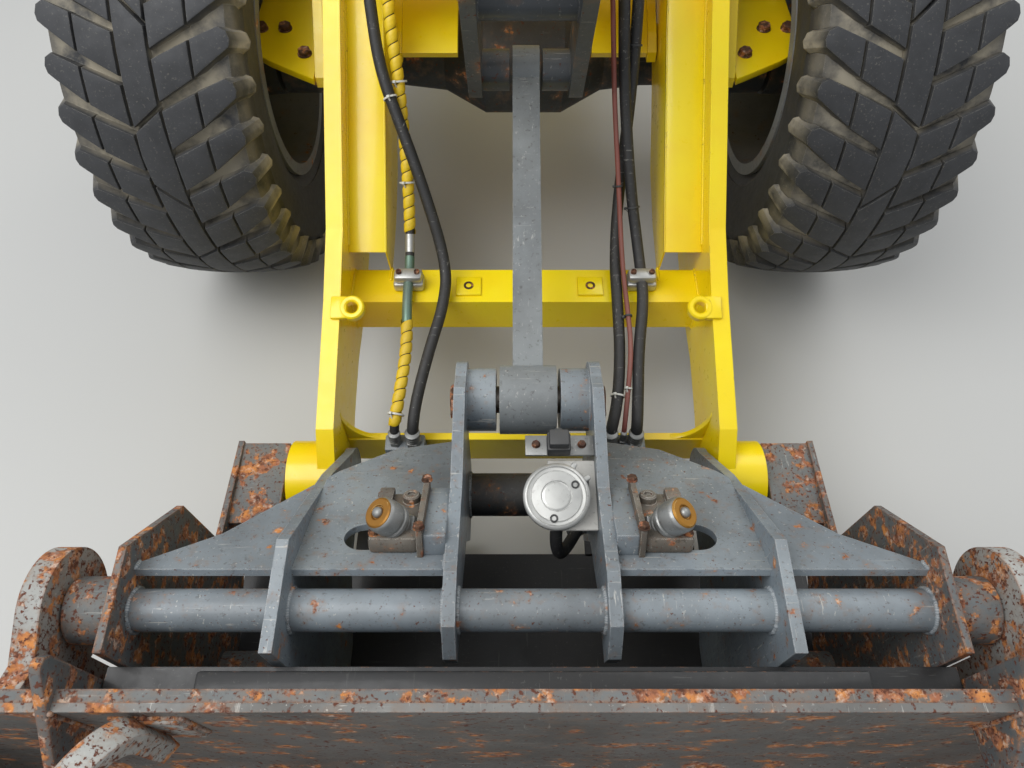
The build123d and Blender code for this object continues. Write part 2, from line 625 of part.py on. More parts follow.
def bucket_hooks():
    """Hooks over the hitch's end pins, and the lower eyes for its lock pins."""
    hook = strap([(HITCH_TUBE, HOOK_RADIUS), ((BUCKET_BACK - 70, 720), 60)],
                 HOOK_X, HOOK_X + HOOK_PLATE)
    hook += plate([(1760, 130), (1760, 760), (BUCKET_BACK, 810), (BUCKET_BACK, 250),
                   (1800, 130)], HOOK_X, HOOK_PLATE)
    y, z = at(HITCH_TUBE)
    throat = Pos(y, z) * Circle(HOOK_PIN_RADIUS + PIN_GAP)
    throat += Pos(y + 10, z - 100) * Rectangle(2 * HOOK_PIN_RADIUS + 30, 200)
    hook -= across(throat, HOOK_X - 5, HOOK_X + HOOK_PLATE + 5)
    eye = plate([(1655, 250), (BUCKET_BACK, 420), (BUCKET_BACK, 250), (1760, 130),
                 (1670, 130)], 745, 40)
    eye -= round_bar(LOCK_PIN, LOCK_PIN_RADIUS + 1, 740, 790)
    return both_sides(Compound(children=[*hook.solids(), *eye.solids()]))


def bucket_top_bar():
    """Stiffener along the back of the bucket's upper edge."""
    return box_between((-BUCKET_HALF_WIDTH + BUCKET_SIDE, BUCKET_HALF_WIDTH - BUCKET_SIDE),
                       (BUCKET_BACK - 20, BUCKET_BACK), (BUCKET_TOP - 30, BUCKET_TOP))


# Build

os.makedirs("parts", exist_ok=True)

SIDES = (("left", 1), ("right", -1))

NODES = {
    "frame_side_plates": frame_side_plates(),
    "frame_cross_plates": frame_cross_plates(),
    "axle_seats": axle_seats(),
    "hinge_plates": hinge_plates(),
    "tilt_base_lugs": tilt_base_lugs(),
    "frame_pins": frame_pins(),
    "axle_housing": axle_housing(),
    "box_cross_tube": box_cross_tube(),
    "upper_cross_tube": upper_cross_tube(),
    "rocker_brackets": rocker_brackets(),
    "lever_pin": lever_pin(),
    "foot_cross_plate": foot_cross_plate(),
    "tilt_lever": tilt_lever(),
    "tilt_link": tilt_link(),
    "hitch_ears": hitch_ears(),
    "hitch_pins": hitch_pins(),
    "hitch_tube": hitch_tube(),
    "hitch_low_tube": hitch_low_tube(),
    "hitch_inner_plates": hitch_inner_plates(),
    "hitch_outer_plates": hitch_outer_plates(),
    "hitch_web": hitch_web(),
    "hitch_collars": hitch_collars(),
    "pin_carriers": pin_carriers(),
    "lock_housings": lock_housings(),
    "lock_pins": lock_pins(),
    "bucket_shell": bucket_shell(),
    "bucket_sides": bucket_sides(),
    "bucket_edge": bucket_edge(),
    "bucket_hooks": bucket_hooks(),
    "bucket_top_bar": bucket_top_bar(),
    "tilt_barrel": barrel(TILT_CYLINDER_BASE, LEVER_TOP, 0, TILT_BARREL_RADIUS, TILT_ROD_RADIUS,
                          TILT_ROD_OUT, TILT_PIN_RADIUS),
    "tilt_rod": rod(TILT_CYLINDER_BASE, LEVER_TOP, 0, TILT_BARREL_RADIUS, TILT_ROD_RADIUS,
                    TILT_PISTON, CYLINDER_PIN_RADIUS),
}

for name, side in SIDES:
    arm = lift_arm()
    NODES[f"lift_arm_{name}"] = arm if side > 0 else mirror(arm, about=Plane.YZ)
    NODES[f"tyre_{name}"] = tyre(side)
    NODES[f"rim_{name}"] = rim(side)
    NODES[f"hub_{name}"] = hub(side)
    NODES[f"lift_barrel_{name}"] = barrel(
        LIFT_CYLINDER_BASE, LIFT_CYLINDER_EYE, side * LIFT_CYLINDER_X, LIFT_BARREL_RADIUS,
        LIFT_ROD_RADIUS, LIFT_ROD_OUT, CYLINDER_PIN_RADIUS)
    NODES[f"lift_rod_{name}"] = rod(
        LIFT_CYLINDER_BASE, LIFT_CYLINDER_EYE, side * LIFT_CYLINDER_X, LIFT_BARREL_RADIUS,
        LIFT_ROD_RADIUS, LIFT_PISTON, CYLINDER_PIN_RADIUS)

for name, shape in NODES.items():
    save(shape, name)
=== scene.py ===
"""Front end of a wheel loader: surfaces, tyres, hoses, fittings and a plain studio.

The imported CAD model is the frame. Its nodes get their finishes here, and what is too fine or
too supple for it is built round it: tread, welds, bolts, hoses, wraps, ties and fittings.
"""

import json
import logging
import math
from dataclasses import dataclass, field
from enum import Enum

import bmesh
import bpy
from mathutils import Matrix, Vector

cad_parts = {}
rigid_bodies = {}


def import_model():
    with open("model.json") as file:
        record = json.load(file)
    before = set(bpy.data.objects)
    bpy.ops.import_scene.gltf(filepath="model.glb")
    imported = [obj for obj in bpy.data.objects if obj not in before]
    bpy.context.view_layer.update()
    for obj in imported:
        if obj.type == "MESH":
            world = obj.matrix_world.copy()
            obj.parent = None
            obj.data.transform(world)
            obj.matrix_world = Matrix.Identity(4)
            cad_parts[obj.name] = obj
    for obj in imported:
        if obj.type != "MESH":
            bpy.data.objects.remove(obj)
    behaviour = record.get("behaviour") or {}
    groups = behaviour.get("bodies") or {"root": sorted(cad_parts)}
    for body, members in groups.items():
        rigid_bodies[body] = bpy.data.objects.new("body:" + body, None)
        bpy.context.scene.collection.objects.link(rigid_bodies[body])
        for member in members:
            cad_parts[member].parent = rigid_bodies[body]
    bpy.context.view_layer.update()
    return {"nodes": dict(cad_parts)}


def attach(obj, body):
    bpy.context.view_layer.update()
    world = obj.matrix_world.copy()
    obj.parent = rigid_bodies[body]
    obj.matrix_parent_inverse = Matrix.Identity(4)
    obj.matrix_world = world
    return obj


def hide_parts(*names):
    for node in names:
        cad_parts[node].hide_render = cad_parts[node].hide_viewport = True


LOG = logging.getLogger("loader")
MM = 0.001
AXLE_Y = 0.6925
AXLE_Z = 0.655
HALF_TRACK = 0.895

Socket = bpy.types.NodeSocket
Point = tuple[float, float, float]


def place(across: float, ahead: float, up: float) -> Vector:
    """Turn millimetres across, ahead of the axle and above the floor into the row frame.

    Args:
        across: Distance to the machine's left of its middle plane.
        ahead: Distance ahead of the axle's centre line.
        up: Height above the floor.

    Returns:
        The point in metres.
    """
    return Vector((across * MM, AXLE_Y - ahead * MM, up * MM))


def linear(colour: str) -> tuple[float, float, float, float]:
    """Turn an sRGB hex value into linear red, green, blue and alpha.

    Args:
        colour: Value such as "#F2C400".

    Returns:
        Four linear channels.
    """
    channels = [int(colour[i:i + 2], 16) / 255 for i in (1, 3, 5)]
    bent = [c / 12.92 if c <= 0.04045 else ((c + 0.055) / 1.055) ** 2.4 for c in channels]
    return (bent[0], bent[1], bent[2], 1.0)


def add_node(tree: bpy.types.NodeTree, kind: str, inputs: dict | None = None,
             **settings: object) -> bpy.types.Node:
    """Add a node, set its properties and give each named input a value or a link.

    Args:
        tree: Tree that the node goes into.
        kind: Blender's name for the node type.
        inputs: Values or sockets by input name or index.
        settings: Properties of the node.

    Returns:
        The new node.
    """
    node = tree.nodes.new(kind)
    for name, value in settings.items():
        setattr(node, name, value)
    for key, value in (inputs or {}).items():
        if isinstance(value, Socket):
            tree.links.new(value, node.inputs[key])
        else:
            node.inputs[key].default_value = value
    return node


# Finishes

@dataclass(frozen=True)
class Layer:
    """Something that lies on a surface or shows through it."""
    mask: Socket
    colour: Socket | str
    roughness: float
    metallic: float = 0.0
    relief: float = 0.0


@dataclass(frozen=True)
class Finish:
    """How a surface was made and how it has aged. Sizes are millimetres, shares 0 to 1."""
    name: str
    base: str
    tone: str
    roughness: float = 0.45
    metallic: float = 0.0
    coat: float = 0.0
    grain: float = 2.0
    grain_height: float = 0.05
    edge_radius: float = 2.5
    edge_wear: float = 0.0
    edge_rust: bool = False
    worn: str = "#8B8478"
    dust: float = 0.0
    dust_colour: str = "#A39B8C"
    grime: float = 0.0
    rust: float = 0.0
    rust_size: float = 45.0
    scratches: float = 0.0


# Two-pack enamel sprayed on welded plate: bright and glossy, dusty on top, chipped at edges.
YELLOW_ENAMEL = Finish(
    "yellow_enamel_sprayed", "#FFE600", "#FAD200", roughness=0.32, coat=0.35, grain=1.6,
    grain_height=0.03, edge_wear=0.05, worn="#7C5A34", dust=0.04, dust_colour="#E9D670",
    grime=0.03, scratches=0.03)
# Blue-grey primer-coated steel, sprayed thin: soft sheen, pale scuffs, orange bleeding edges.
GREY_ENAMEL = Finish(
    "blue_grey_enamel_sprayed", "#89949C", "#6F7981", roughness=0.40, coat=0.15, grain=1.8,
    edge_radius=4.0, edge_wear=0.7, worn="#BCC1C3", dust=0.22, dust_colour="#A8A497",
    grime=0.42, rust=0.045, rust_size=16, scratches=0.75)
# White-grey enamel on hooks and bars that gravel scrapes: chalky, rust round every knock.
HOOK_ENAMEL = Finish(
    "scraped_white_grey_enamel", "#A9AAA6", "#8F908C", roughness=0.55, grain=1.4,
    grain_height=0.1, edge_radius=7.0, edge_wear=0.9, edge_rust=True, dust=0.30,
    dust_colour="#D6D3CA", grime=0.3, rust=0.42, rust_size=18, scratches=0.5)
# The same enamel where it is nearly gone: rust in several ages with islands of paint.
RUSTED_ENAMEL = Finish(
    "rusted_grey_enamel", "#656B6E", "#54585A", roughness=0.6, grain=1.4, grain_height=0.12,
    edge_radius=7.0, edge_wear=0.95, edge_rust=True, dust=0.25, dust_colour="#A9A497",
    grime=0.35, rust=0.38, rust_size=20, scratches=0.4)
# Dark grey enamel on flame-cut lever plates: satin, dusted along the upper faces.
DARK_ENAMEL = Finish(
    "dark_grey_enamel_sprayed", "#4B5157", "#3C4146", roughness=0.42, coat=0.2, grain=1.8,
    edge_wear=0.3, worn="#8A8A84", dust=0.3, dust_colour="#83817A", grime=0.3, rust=0.03,
    scratches=0.35)
# Light grey enamel on a forged bar: scuffed pale, with fine scratches along it.
LINK_ENAMEL = Finish(
    "light_grey_enamel_on_forging", "#7E8486", "#6B7073", roughness=0.42, coat=0.1, grain=2.4,
    grain_height=0.1, edge_wear=0.35, worn="#B2B2AA", dust=0.25, dust_colour="#9C9A91",
    grime=0.5, rust=0.0, scratches=0.6)
# Painted iron casting: coarse sand texture, nearly black, greasy round the hubs.
BLACK_CASTING = Finish(
    "painted_iron_sand_casting", "#34393D", "#26292B", roughness=0.55, grain=3.5,
    grain_height=0.35, edge_wear=0.15, worn="#6B5C4C", dust=0.45, dust_colour="#77716A",
    grime=0.4, rust=0.12, rust_size=30, scratches=0.1)
# Silver-grey baked enamel on pressed rims: even and dull, dusty in the well.
RIM_ENAMEL = Finish(
    "silver_grey_baked_enamel", "#84878A", "#777B7E", roughness=0.45, metallic=0.15, grain=2.5,
    edge_wear=0.1, worn="#5F5A52", dust=0.35, dust_colour="#8F8A82", grime=0.3, rust=0.02)
# Worn bucket plate: paint gone inside, steel dulled by gravel, rust blooms and damp stains.
BUCKET_PLATE = Finish(
    "worn_hot_rolled_plate", "#7E7E7C", "#62615E", roughness=0.45, metallic=0.3, grain=2.0,
    grain_height=0.12, edge_wear=0.6, edge_rust=True, dust=0.2, dust_colour="#8C867C",
    grime=0.4, rust=0.24, rust_size=34, scratches=0.7)
# Black enamel on the bucket's back rail, and painted shade on the black sheet under the hitch:
# dark, with dust runs and rust along the seams.
BLACK_ENAMEL_AND_PAINTED_SHADE = Finish(
    "black_enamel_sprayed", "#17181A", "#0F1011", roughness=0.42, coat=0.15, grain=1.8,
    edge_wear=0.2, edge_rust=True, dust=0.07, dust_colour="#55524C", grime=0.3,
    scratches=0.08)
# Ground and hardened pin steel with grease and light rust round its ends.
PIN_STEEL = Finish(
    "ground_pin_steel", "#8D8781", "#6E5E50", roughness=0.36, metallic=0.85, grain=1.0,
    edge_wear=0.1, worn="#B9B4AB", grime=0.4, rust=0.30, rust_size=28)
# Hard chrome on a ground rod: clean mirror with faint wiper marks.
CHROME = Finish(
    "hard_chrome_plate", "#D6D8DA", "#C9CCCF", roughness=0.12, metallic=1.0, grain=0.8,
    grain_height=0.004)
# Bolts as fitted: plating gone, brown rust over dark steel.
RUSTED_BOLT = Finish(
    "rusted_bolt_steel", "#5A3A2B", "#3E2A22", roughness=0.75, metallic=0.3, grain=1.2,
    grain_height=0.15, edge_wear=0.2, worn="#8A6248", grime=0.3, rust=0.4, rust_size=12)
# Zinc-plated steel fittings: pale grey with a cool sheen and white bloom.
ZINC = Finish(
    "zinc_plated_steel", "#A5A7A6", "#8E908F", roughness=0.36, metallic=0.8, grain=1.5,
    edge_wear=0.2, worn="#C9C9C4", dust=0.2, grime=0.35, scratches=0.4)
# Fittings on the hitch that live in salt and dirt: pitted, white bloom and brown bleed.
CORRODED_ZINC = Finish(
    "corroded_zinc_plate", "#8E877B", "#4A4038", roughness=0.6, metallic=0.35, grain=1.4,
    grain_height=0.15, edge_wear=0.7, worn="#CFCABF", dust=0.35, dust_colour="#CFC9BE",
    grime=0.7, rust=0.14, rust_size=14, scratches=0.3)
# Die-cast aluminium cap: bright matt skin with rings from turning and small knocks.
CAST_ALUMINIUM = Finish(
    "die_cast_aluminium", "#C3C3BF", "#AFAFAB", roughness=0.36, metallic=0.75, grain=1.6,
    grain_height=0.05, edge_wear=0.3, worn="#E2E2DE", grime=0.3, scratches=0.5)
# Brass poppet and seat inside a coupling: yellow metal, tarnished orange.
BRASS = Finish(
    "tarnished_brass", "#C08A3E", "#9A6426", roughness=0.35, metallic=0.9, grain=1.0,
    edge_wear=0.3, worn="#E6C27A", grime=0.3)
# Extruded polyethylene spiral: semi-matt yellow, a little translucent, dusty in the gaps.
YELLOW_SPIRAL = Finish(
    "yellow_polyethylene_spiral", "#F7D320", "#E8BE14", roughness=0.42, grain=1.0,
    grain_height=0.02, dust=0.25, dust_colour="#B9A871", grime=0.25)
# Moulded rubber hose cover: dark grey, dull, with dust in its weave.
HOSE_RUBBER = Finish(
    "moulded_hose_rubber", "#26272A", "#1B1C1E", roughness=0.55, grain=1.2, grain_height=0.08,
    dust=0.3, dust_colour="#68655F", grime=0.2, scratches=0.3)
# Extruded red-brown hose cover, faded and dusty.
RED_HOSE = Finish(
    "red_hose_cover", "#8C4A40", "#74392F", roughness=0.55, grain=1.2, dust=0.3,
    dust_colour="#A08A80", grime=0.3)
# Galvanised hose fitting and ferrule with a green tint from its passivation.
GREEN_PASSIVATED = Finish(
    "green_passivated_zinc", "#5E8F78", "#7D8F86", roughness=0.35, metallic=0.6, grain=1.2,
    grime=0.3, dust=0.2)
# Moulded nylon: cable ties as they come, off-white.
NYLON = Finish(
    "moulded_natural_nylon", "#E4E4DC", "#D2D1C6", roughness=0.45, grain=1.0,
    grain_height=0.01, grime=0.2)
# Glass-filled nylon plugs: dark grey, matt and slightly dusty.
BLACK_NYLON = Finish(
    "glass_filled_nylon", "#3B3D40", "#303235", roughness=0.5, grain=1.0, dust=0.3,
    dust_colour="#77746D", grime=0.3)
# White powder coat on a small bracket, scuffed grey.
WHITE_POWDER = Finish(
    "white_powder_coat", "#DAD9D4", "#C8C6BF", roughness=0.4, grain=1.2, edge_wear=0.35,
    worn="#8B8478", grime=0.35, dust=0.15, scratches=0.3)


class AgedSurface:
    """Material of one finish: clean colour, then dust, grime, scratches, worn edges and rust."""

    def __init__(self, finish: Finish) -> None:
        """Start an empty material for the finish."""
        self.finish = finish
        self.material = bpy.data.materials.new(finish.name)
        self.material.use_nodes = True
        self.tree = self.material.node_tree
        self.tree.nodes.clear()
        self.vector = add_node(self.tree, "ShaderNodeTexCoord").outputs["Object"]
        self.normal = add_node(self.tree, "ShaderNodeNewGeometry").outputs["Normal"]
        self.rounded = add_node(self.tree, "ShaderNodeBevel",
                                {"Radius": finish.edge_radius * MM}, samples=2).outputs[0]
        self.seed = sum(ord(letter) for letter in finish.name) % 97

    def noise(self, size: float, detail: float = 5.0, stretch: Point = (1, 1, 1),
              shift: float = 0.0) -> Socket:
        """Noise whose blots are about size millimetres wide.

        Args:
            size: Width of a blot in millimetres.
            detail: Octaves of finer noise.
            stretch: Scale of each axis, less than 1 for long blots.
            shift: Moves the pattern to another part of the noise.

        Returns:
            The grey value.
        """
        mapping = add_node(self.tree, "ShaderNodeMapping", {
            "Vector": self.vector, "Scale": stretch,
            "Location": (self.seed * 0.37 + shift, shift, self.seed * 0.11)})
        noise = add_node(self.tree, "ShaderNodeTexNoise", {
            "Vector": mapping.outputs[0], "Scale": 0.5 / (size * MM), "Detail": detail,
            "Roughness": 0.6})
        return noise.outputs[0]

    def ramp(self, value: Socket, low: float, high: float) -> Socket:
        """Stretch a value so that low becomes 0 and high becomes 1."""
        return add_node(self.tree, "ShaderNodeMapRange", {
            "Value": value, "From Min": low, "From Max": high}).outputs[0]

    def times(self, *values: Socket | float) -> Socket:
        """Product of several values."""
        product = values[0]
        for value in values[1:]:
            product = add_node(self.tree, "ShaderNodeMath", {0: product, 1: value},
                               operation="MULTIPLY").outputs[0]
        return product

    def patches(self, size: float, share: float, softness: float = 0.05, shift: float = 0.0,
                stretch: Point = (1, 1, 1)) -> Socket:
        """Mask of irregular patches that covers about the given share of the surface."""
        edge = 0.5 + 0.34 * (0.5 - share)
        return self.ramp(self.noise(size, 8.0, stretch, shift), edge - softness, edge + softness)

    def upward(self) -> Socket:
        """Mask that is 1 on faces that look up and 0 on walls."""
        apart = add_node(self.tree, "ShaderNodeSeparateXYZ", {0: self.normal})
        return self.ramp(apart.outputs["Z"], 0.25, 0.9)

    def edges(self) -> Socket:
        """Mask of the outer edges, found where the rounded normal leaves the flat one."""
        dot = add_node(self.tree, "ShaderNodeVectorMath", {0: self.rounded, 1: self.normal},
                       operation="DOT_PRODUCT").outputs["Value"]
        return self.ramp(dot, 0.985, 0.86)

    def blend(self, low: str, high: str, factor: Socket) -> Socket:
        """Colour between two hex values."""
        return add_node(self.tree, "ShaderNodeMix", {
            0: factor, 6: linear(low), 7: linear(high)}, data_type="RGBA").outputs[2]

    def layers(self) -> list[Layer]:
        """Layers of the finish from the lowest to the uppermost."""
        finish = self.finish
        stack = []
        if finish.dust:
            film = self.times(self.upward(), self.patches(160, 0.6, 0.25, 3.0), finish.dust)
            stack.append(Layer(film, finish.dust_colour, 0.85))
        if finish.grime:
            stains = self.times(self.patches(90, 0.35, 0.16, 5.0, (1, 1, 0.35)), finish.grime)
            stack.append(Layer(stains, "#2A2622", 0.6))
            specks = self.times(self.patches(5, 0.10, 0.04, 6.0), finish.grime)
            stack.append(Layer(specks, "#3A342C", 0.7))
        if finish.scratches:
            for turn, stretch in enumerate(((1, 0.06, 1), (0.07, 1, 1), (1, 1, 0.08))):
                lines = self.times(self.patches(3.5, 0.06, 0.015, 7.0 + turn, stretch),
                                   self.patches(120, 0.45, 0.1, 11.0 + turn), finish.scratches)
                stack.append(Layer(lines, "#C4C2BA", 0.5, 0.2, -0.1))
        if finish.edge_wear:
            torn = self.ramp(self.noise(14, 8.0, shift=15.0), 0.62 - 0.3 * finish.edge_wear,
                             0.66 - 0.3 * finish.edge_wear)
            bare = self.rust() if finish.edge_rust else finish.worn
            stack.append(Layer(self.times(self.edges(), torn), bare, 0.65, 0.1, -0.2))
        if finish.rust:
            halo = self.times(self.patches(finish.rust_size, finish.rust + 0.08, 0.09, 20.0), 0.5)
            stack.append(Layer(halo, "#8A6A4E", 0.7))
            bloom = self.patches(finish.rust_size, finish.rust, 0.02, 20.0)
            stack.append(Layer(bloom, self.rust(), 0.88, 0.0, 0.5))
            pits = self.patches(finish.rust_size * 0.2, finish.rust * 0.6, 0.03, 26.0)
            stack.append(Layer(pits, "#5E3424", 0.85, 0.0, 0.3))
        return stack

    def rust(self) -> Socket:
        """Colour of rust in three ages: dark scale, brown, and pale orange bloom."""
        old = self.blend("#553325", "#A0674A", self.ramp(self.noise(7, 6.0, shift=23.0),
                                                         0.36, 0.58))
        fresh = self.patches(13, 0.34, 0.10, 29.0)
        young = add_node(self.tree, "ShaderNodeMix", {
            0: fresh, 6: old, 7: linear("#CC8648")}, data_type="RGBA").outputs[2]
        chalk = self.times(self.patches(6, 0.2, 0.08, 31.0), 0.7)
        return add_node(self.tree, "ShaderNodeMix", {
            0: chalk, 6: young, 7: linear("#D8C6B4")}, data_type="RGBA").outputs[2]

    def build(self) -> bpy.types.Material:
        """Blend the layers and link the shader.

        Returns:
            The finished material.
        """
        finish = self.finish
        shade = self.ramp(self.noise(220, 4.0), 0.36, 0.64)
        mottle = self.ramp(self.noise(12, 6.0, shift=1.0), 0.3, 0.7)
        colour = self.blend(finish.base, finish.tone, self.times(shade, 0.9))
        gloss = add_node(self.tree, "ShaderNodeMapRange", {
            "Value": mottle, "To Min": max(0.02, finish.roughness - 0.07),
            "To Max": finish.roughness + 0.1}).outputs[0]
        metal: Socket | float = finish.metallic
        height = self.times(self.noise(finish.grain, 3.0), finish.grain_height)
        for layer in self.layers():
            over = linear(layer.colour) if isinstance(layer.colour, str) else layer.colour
            colour = add_node(self.tree, "ShaderNodeMix", {0: layer.mask, 6: colour, 7: over},
                              data_type="RGBA").outputs[2]
            gloss = add_node(self.tree, "ShaderNodeMix", {
                0: layer.mask, 2: gloss, 3: layer.roughness}).outputs[0]
            metal = add_node(self.tree, "ShaderNodeMix", {
                0: layer.mask, 2: metal, 3: layer.metallic}).outputs[0]
            if layer.relief:
                height = add_node(self.tree, "ShaderNodeMath", {
                    0: layer.mask, 1: layer.relief, 2: height},
                    operation="MULTIPLY_ADD").outputs[0]
        bump = add_node(self.tree, "ShaderNodeBump", {
            "Height": height, "Normal": self.rounded, "Distance": MM, "Strength": 0.9})
        self.link(colour, gloss, metal, bump.outputs[0])
        return self.material

    def link(self, colour: Socket, gloss: Socket, metal: Socket | float,
             normal: Socket) -> None:
        """Link the shader to the output."""
        shader = add_node(self.tree, "ShaderNodeBsdfPrincipled", {
            "Base Color": colour, "Roughness": gloss, "Metallic": metal, "Normal": normal,
            "Coat Weight": self.finish.coat, "Coat Roughness": 0.12})
        add_node(self.tree, "ShaderNodeOutputMaterial", {"Surface": shader.outputs[0]})


# Vulcanised tread rubber: charcoal where the road polishes it, pale dust in the grooves.
TREAD_RUBBER = Finish(
    "vulcanised_tyre_rubber", "#3A3B3D", "#2C2D2F", roughness=0.62, grain=1.6,
    grain_height=0.12, edge_radius=3.0)


class TyreRubber(AgedSurface):
    """Rubber whose dust follows the tread: the mesh carries how deep each point lies."""

    def layers(self) -> list[Layer]:
        """Dust in the grooves, pale scuffed edges, road film on the blocks, damp sidewall."""
        depth = add_node(self.tree, "ShaderNodeAttribute", attribute_name="groove",
                         attribute_type="GEOMETRY").outputs["Fac"]
        wall = add_node(self.tree, "ShaderNodeAttribute", attribute_name="wall",
                        attribute_type="GEOMETRY").outputs["Fac"]
        caked = self.times(depth, self.ramp(self.noise(38, 8.0, shift=2.0), 0.34, 0.56))
        film = self.times(self.patches(26, 0.5, 0.2, 4.0), 0.22)
        scuffs = self.times(self.edges(), self.ramp(self.noise(10, 7.0, shift=6.0), 0.35, 0.6))
        streaks = self.times(wall, self.patches(60, 0.4, 0.15, 8.0))
        grit = self.times(self.patches(3, 0.12, 0.03, 9.0), 0.5)
        return [
            Layer(film, "#55565A", 0.7),
            Layer(grit, "#6E6C66", 0.85, 0.0, 0.1),
            Layer(self.times(caked, 0.95), "#A29A88", 0.92, 0.0, 0.5),
            Layer(self.times(scuffs, 0.6), "#A5A196", 0.85),
            Layer(self.times(streaks, 0.5), "#2B2723", 0.5),
        ]


class Paintbox:
    """Each finish as a material, made when it is first asked for."""

    def __init__(self) -> None:
        """Start with no materials."""
        self.made: dict[str, bpy.types.Material] = {}

    def get(self, finish: Finish) -> bpy.types.Material:
        """Material of the finish."""
        if finish.name not in self.made:
            kind = TyreRubber if finish is TREAD_RUBBER else AgedSurface
            self.made[finish.name] = kind(finish).build()
        return self.made[finish.name]


PAINT = Paintbox()


# Meshes

def finished(mesh: bpy.types.Mesh, name: str, body: str, finish: Finish,
             smooth: float | None = 40.0) -> bpy.types.Object:
    """Put a mesh in the scene on its body, with its finish.

    Args:
        mesh: Mesh in the row frame.
        name: Name of the piece.
        body: CAD body that it rides on.
        finish: Its finish.
        smooth: Angle in degrees under which edges are shaded smooth, None for flat faces.

    Returns:
        The new object.
    """
    mesh.name = name
    obj = bpy.data.objects.new(name, mesh)
    bpy.context.scene.collection.objects.link(obj)
    mesh.materials.clear()
    mesh.materials.append(PAINT.get(finish))
    if smooth is not None:
        mesh.shade_smooth()
        mesh.set_sharp_from_angle(angle=math.radians(smooth))
    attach(obj, body)
    LOG.info("%s: %d faces on %s", name, len(mesh.polygons), body)
    return obj


class Shape:
    """A mesh in the making, with each form added in the row frame."""

    def __init__(self) -> None:
        """Start with no faces."""
        self.bm = bmesh.new()

    def add(self, form: bmesh.types.BMesh, where: Matrix) -> "Shape":
        """Add a form after moving it, and free it."""
        bmesh.ops.transform(form, matrix=where, verts=form.verts)
        piece = bpy.data.meshes.new("piece")
        form.to_mesh(piece)
        form.free()
        self.bm.from_mesh(piece)
        bpy.data.meshes.remove(piece)
        return self

    def mesh(self, name: str) -> bpy.types.Mesh:
        """Close the mesh, with its faces turned outwards."""
        bmesh.ops.recalc_face_normals(self.bm, faces=self.bm.faces)
        mesh = bpy.data.meshes.new(name)
        self.bm.to_mesh(mesh)
        self.bm.free()
        return mesh


def turned(profile: list[tuple[float, float]], segments: int = 48) -> bmesh.types.BMesh:
    """Solid of revolution about Z.

    Args:
        profile: (radius, height) pairs in metres; it is closed on the axis.
        segments: Faces round the axis.

    Returns:
        The form.
    """
    form = bmesh.new()
    rows = []
    for radius, height in profile:
        if radius < 1e-6:
            rows.append([form.verts.new((0, 0, height))])
            continue
        rows.append([form.verts.new((radius * math.cos(2 * math.pi * k / segments),
                                     radius * math.sin(2 * math.pi * k / segments), height))
                     for k in range(segments)])
    for low, high in zip(rows, rows[1:]):
        for k in range(segments):
            ring = [low[k % len(low)], low[(k + 1) % len(low)],
                    high[(k + 1) % len(high)], high[k % len(high)]]
            corners = list(dict.fromkeys(ring))
            if len(corners) > 2:
                form.faces.new(corners)
    return form


def block(size: Point, bevel: float = 0.0) -> bmesh.types.BMesh:
    """Box about the origin with bevelled edges."""
    form = bmesh.new()
    bmesh.ops.create_cube(form, size=1.0, matrix=Matrix.Diagonal((*size, 1)))
    if bevel:
        bmesh.ops.bevel(form, geom=form.edges[:], offset=bevel, segments=2, affect="EDGES",
                        profile=0.5)
    return form


def prism(outline: list[tuple[float, float]], depth: float, bevel: float = 0.0
          ) -> bmesh.types.BMesh:
    """Flat outline pushed up from z 0 by depth, with its rims bevelled."""
    form = bmesh.new()
    face = form.faces.new([form.verts.new((x, y, 0)) for x, y in outline])
    pushed = bmesh.ops.extrude_face_region(form, geom=[face])
    top = [v for v in pushed["geom"] if isinstance(v, bmesh.types.BMVert)]
    bmesh.ops.translate(form, vec=(0, 0, depth), verts=top)
    bmesh.ops.recalc_face_normals(form, faces=form.faces)
    if bevel:
        rims = [e for e in form.edges if abs(e.verts[0].co.z - e.verts[1].co.z) < 1e-7]
        bmesh.ops.bevel(form, geom=rims, offset=bevel, segments=2, affect="EDGES", profile=0.5)
    return form


def aim(origin: Vector, axis: Vector, roll: float = 0.0) -> Matrix:
    """Matrix that carries Z to an axis at an origin, after a roll about Z."""
    turn = axis.to_track_quat("Z", "Y").to_matrix().to_4x4()
    return Matrix.Translation(origin) @ turn @ Matrix.Rotation(roll, 4, "Z")


# Geometry Nodes

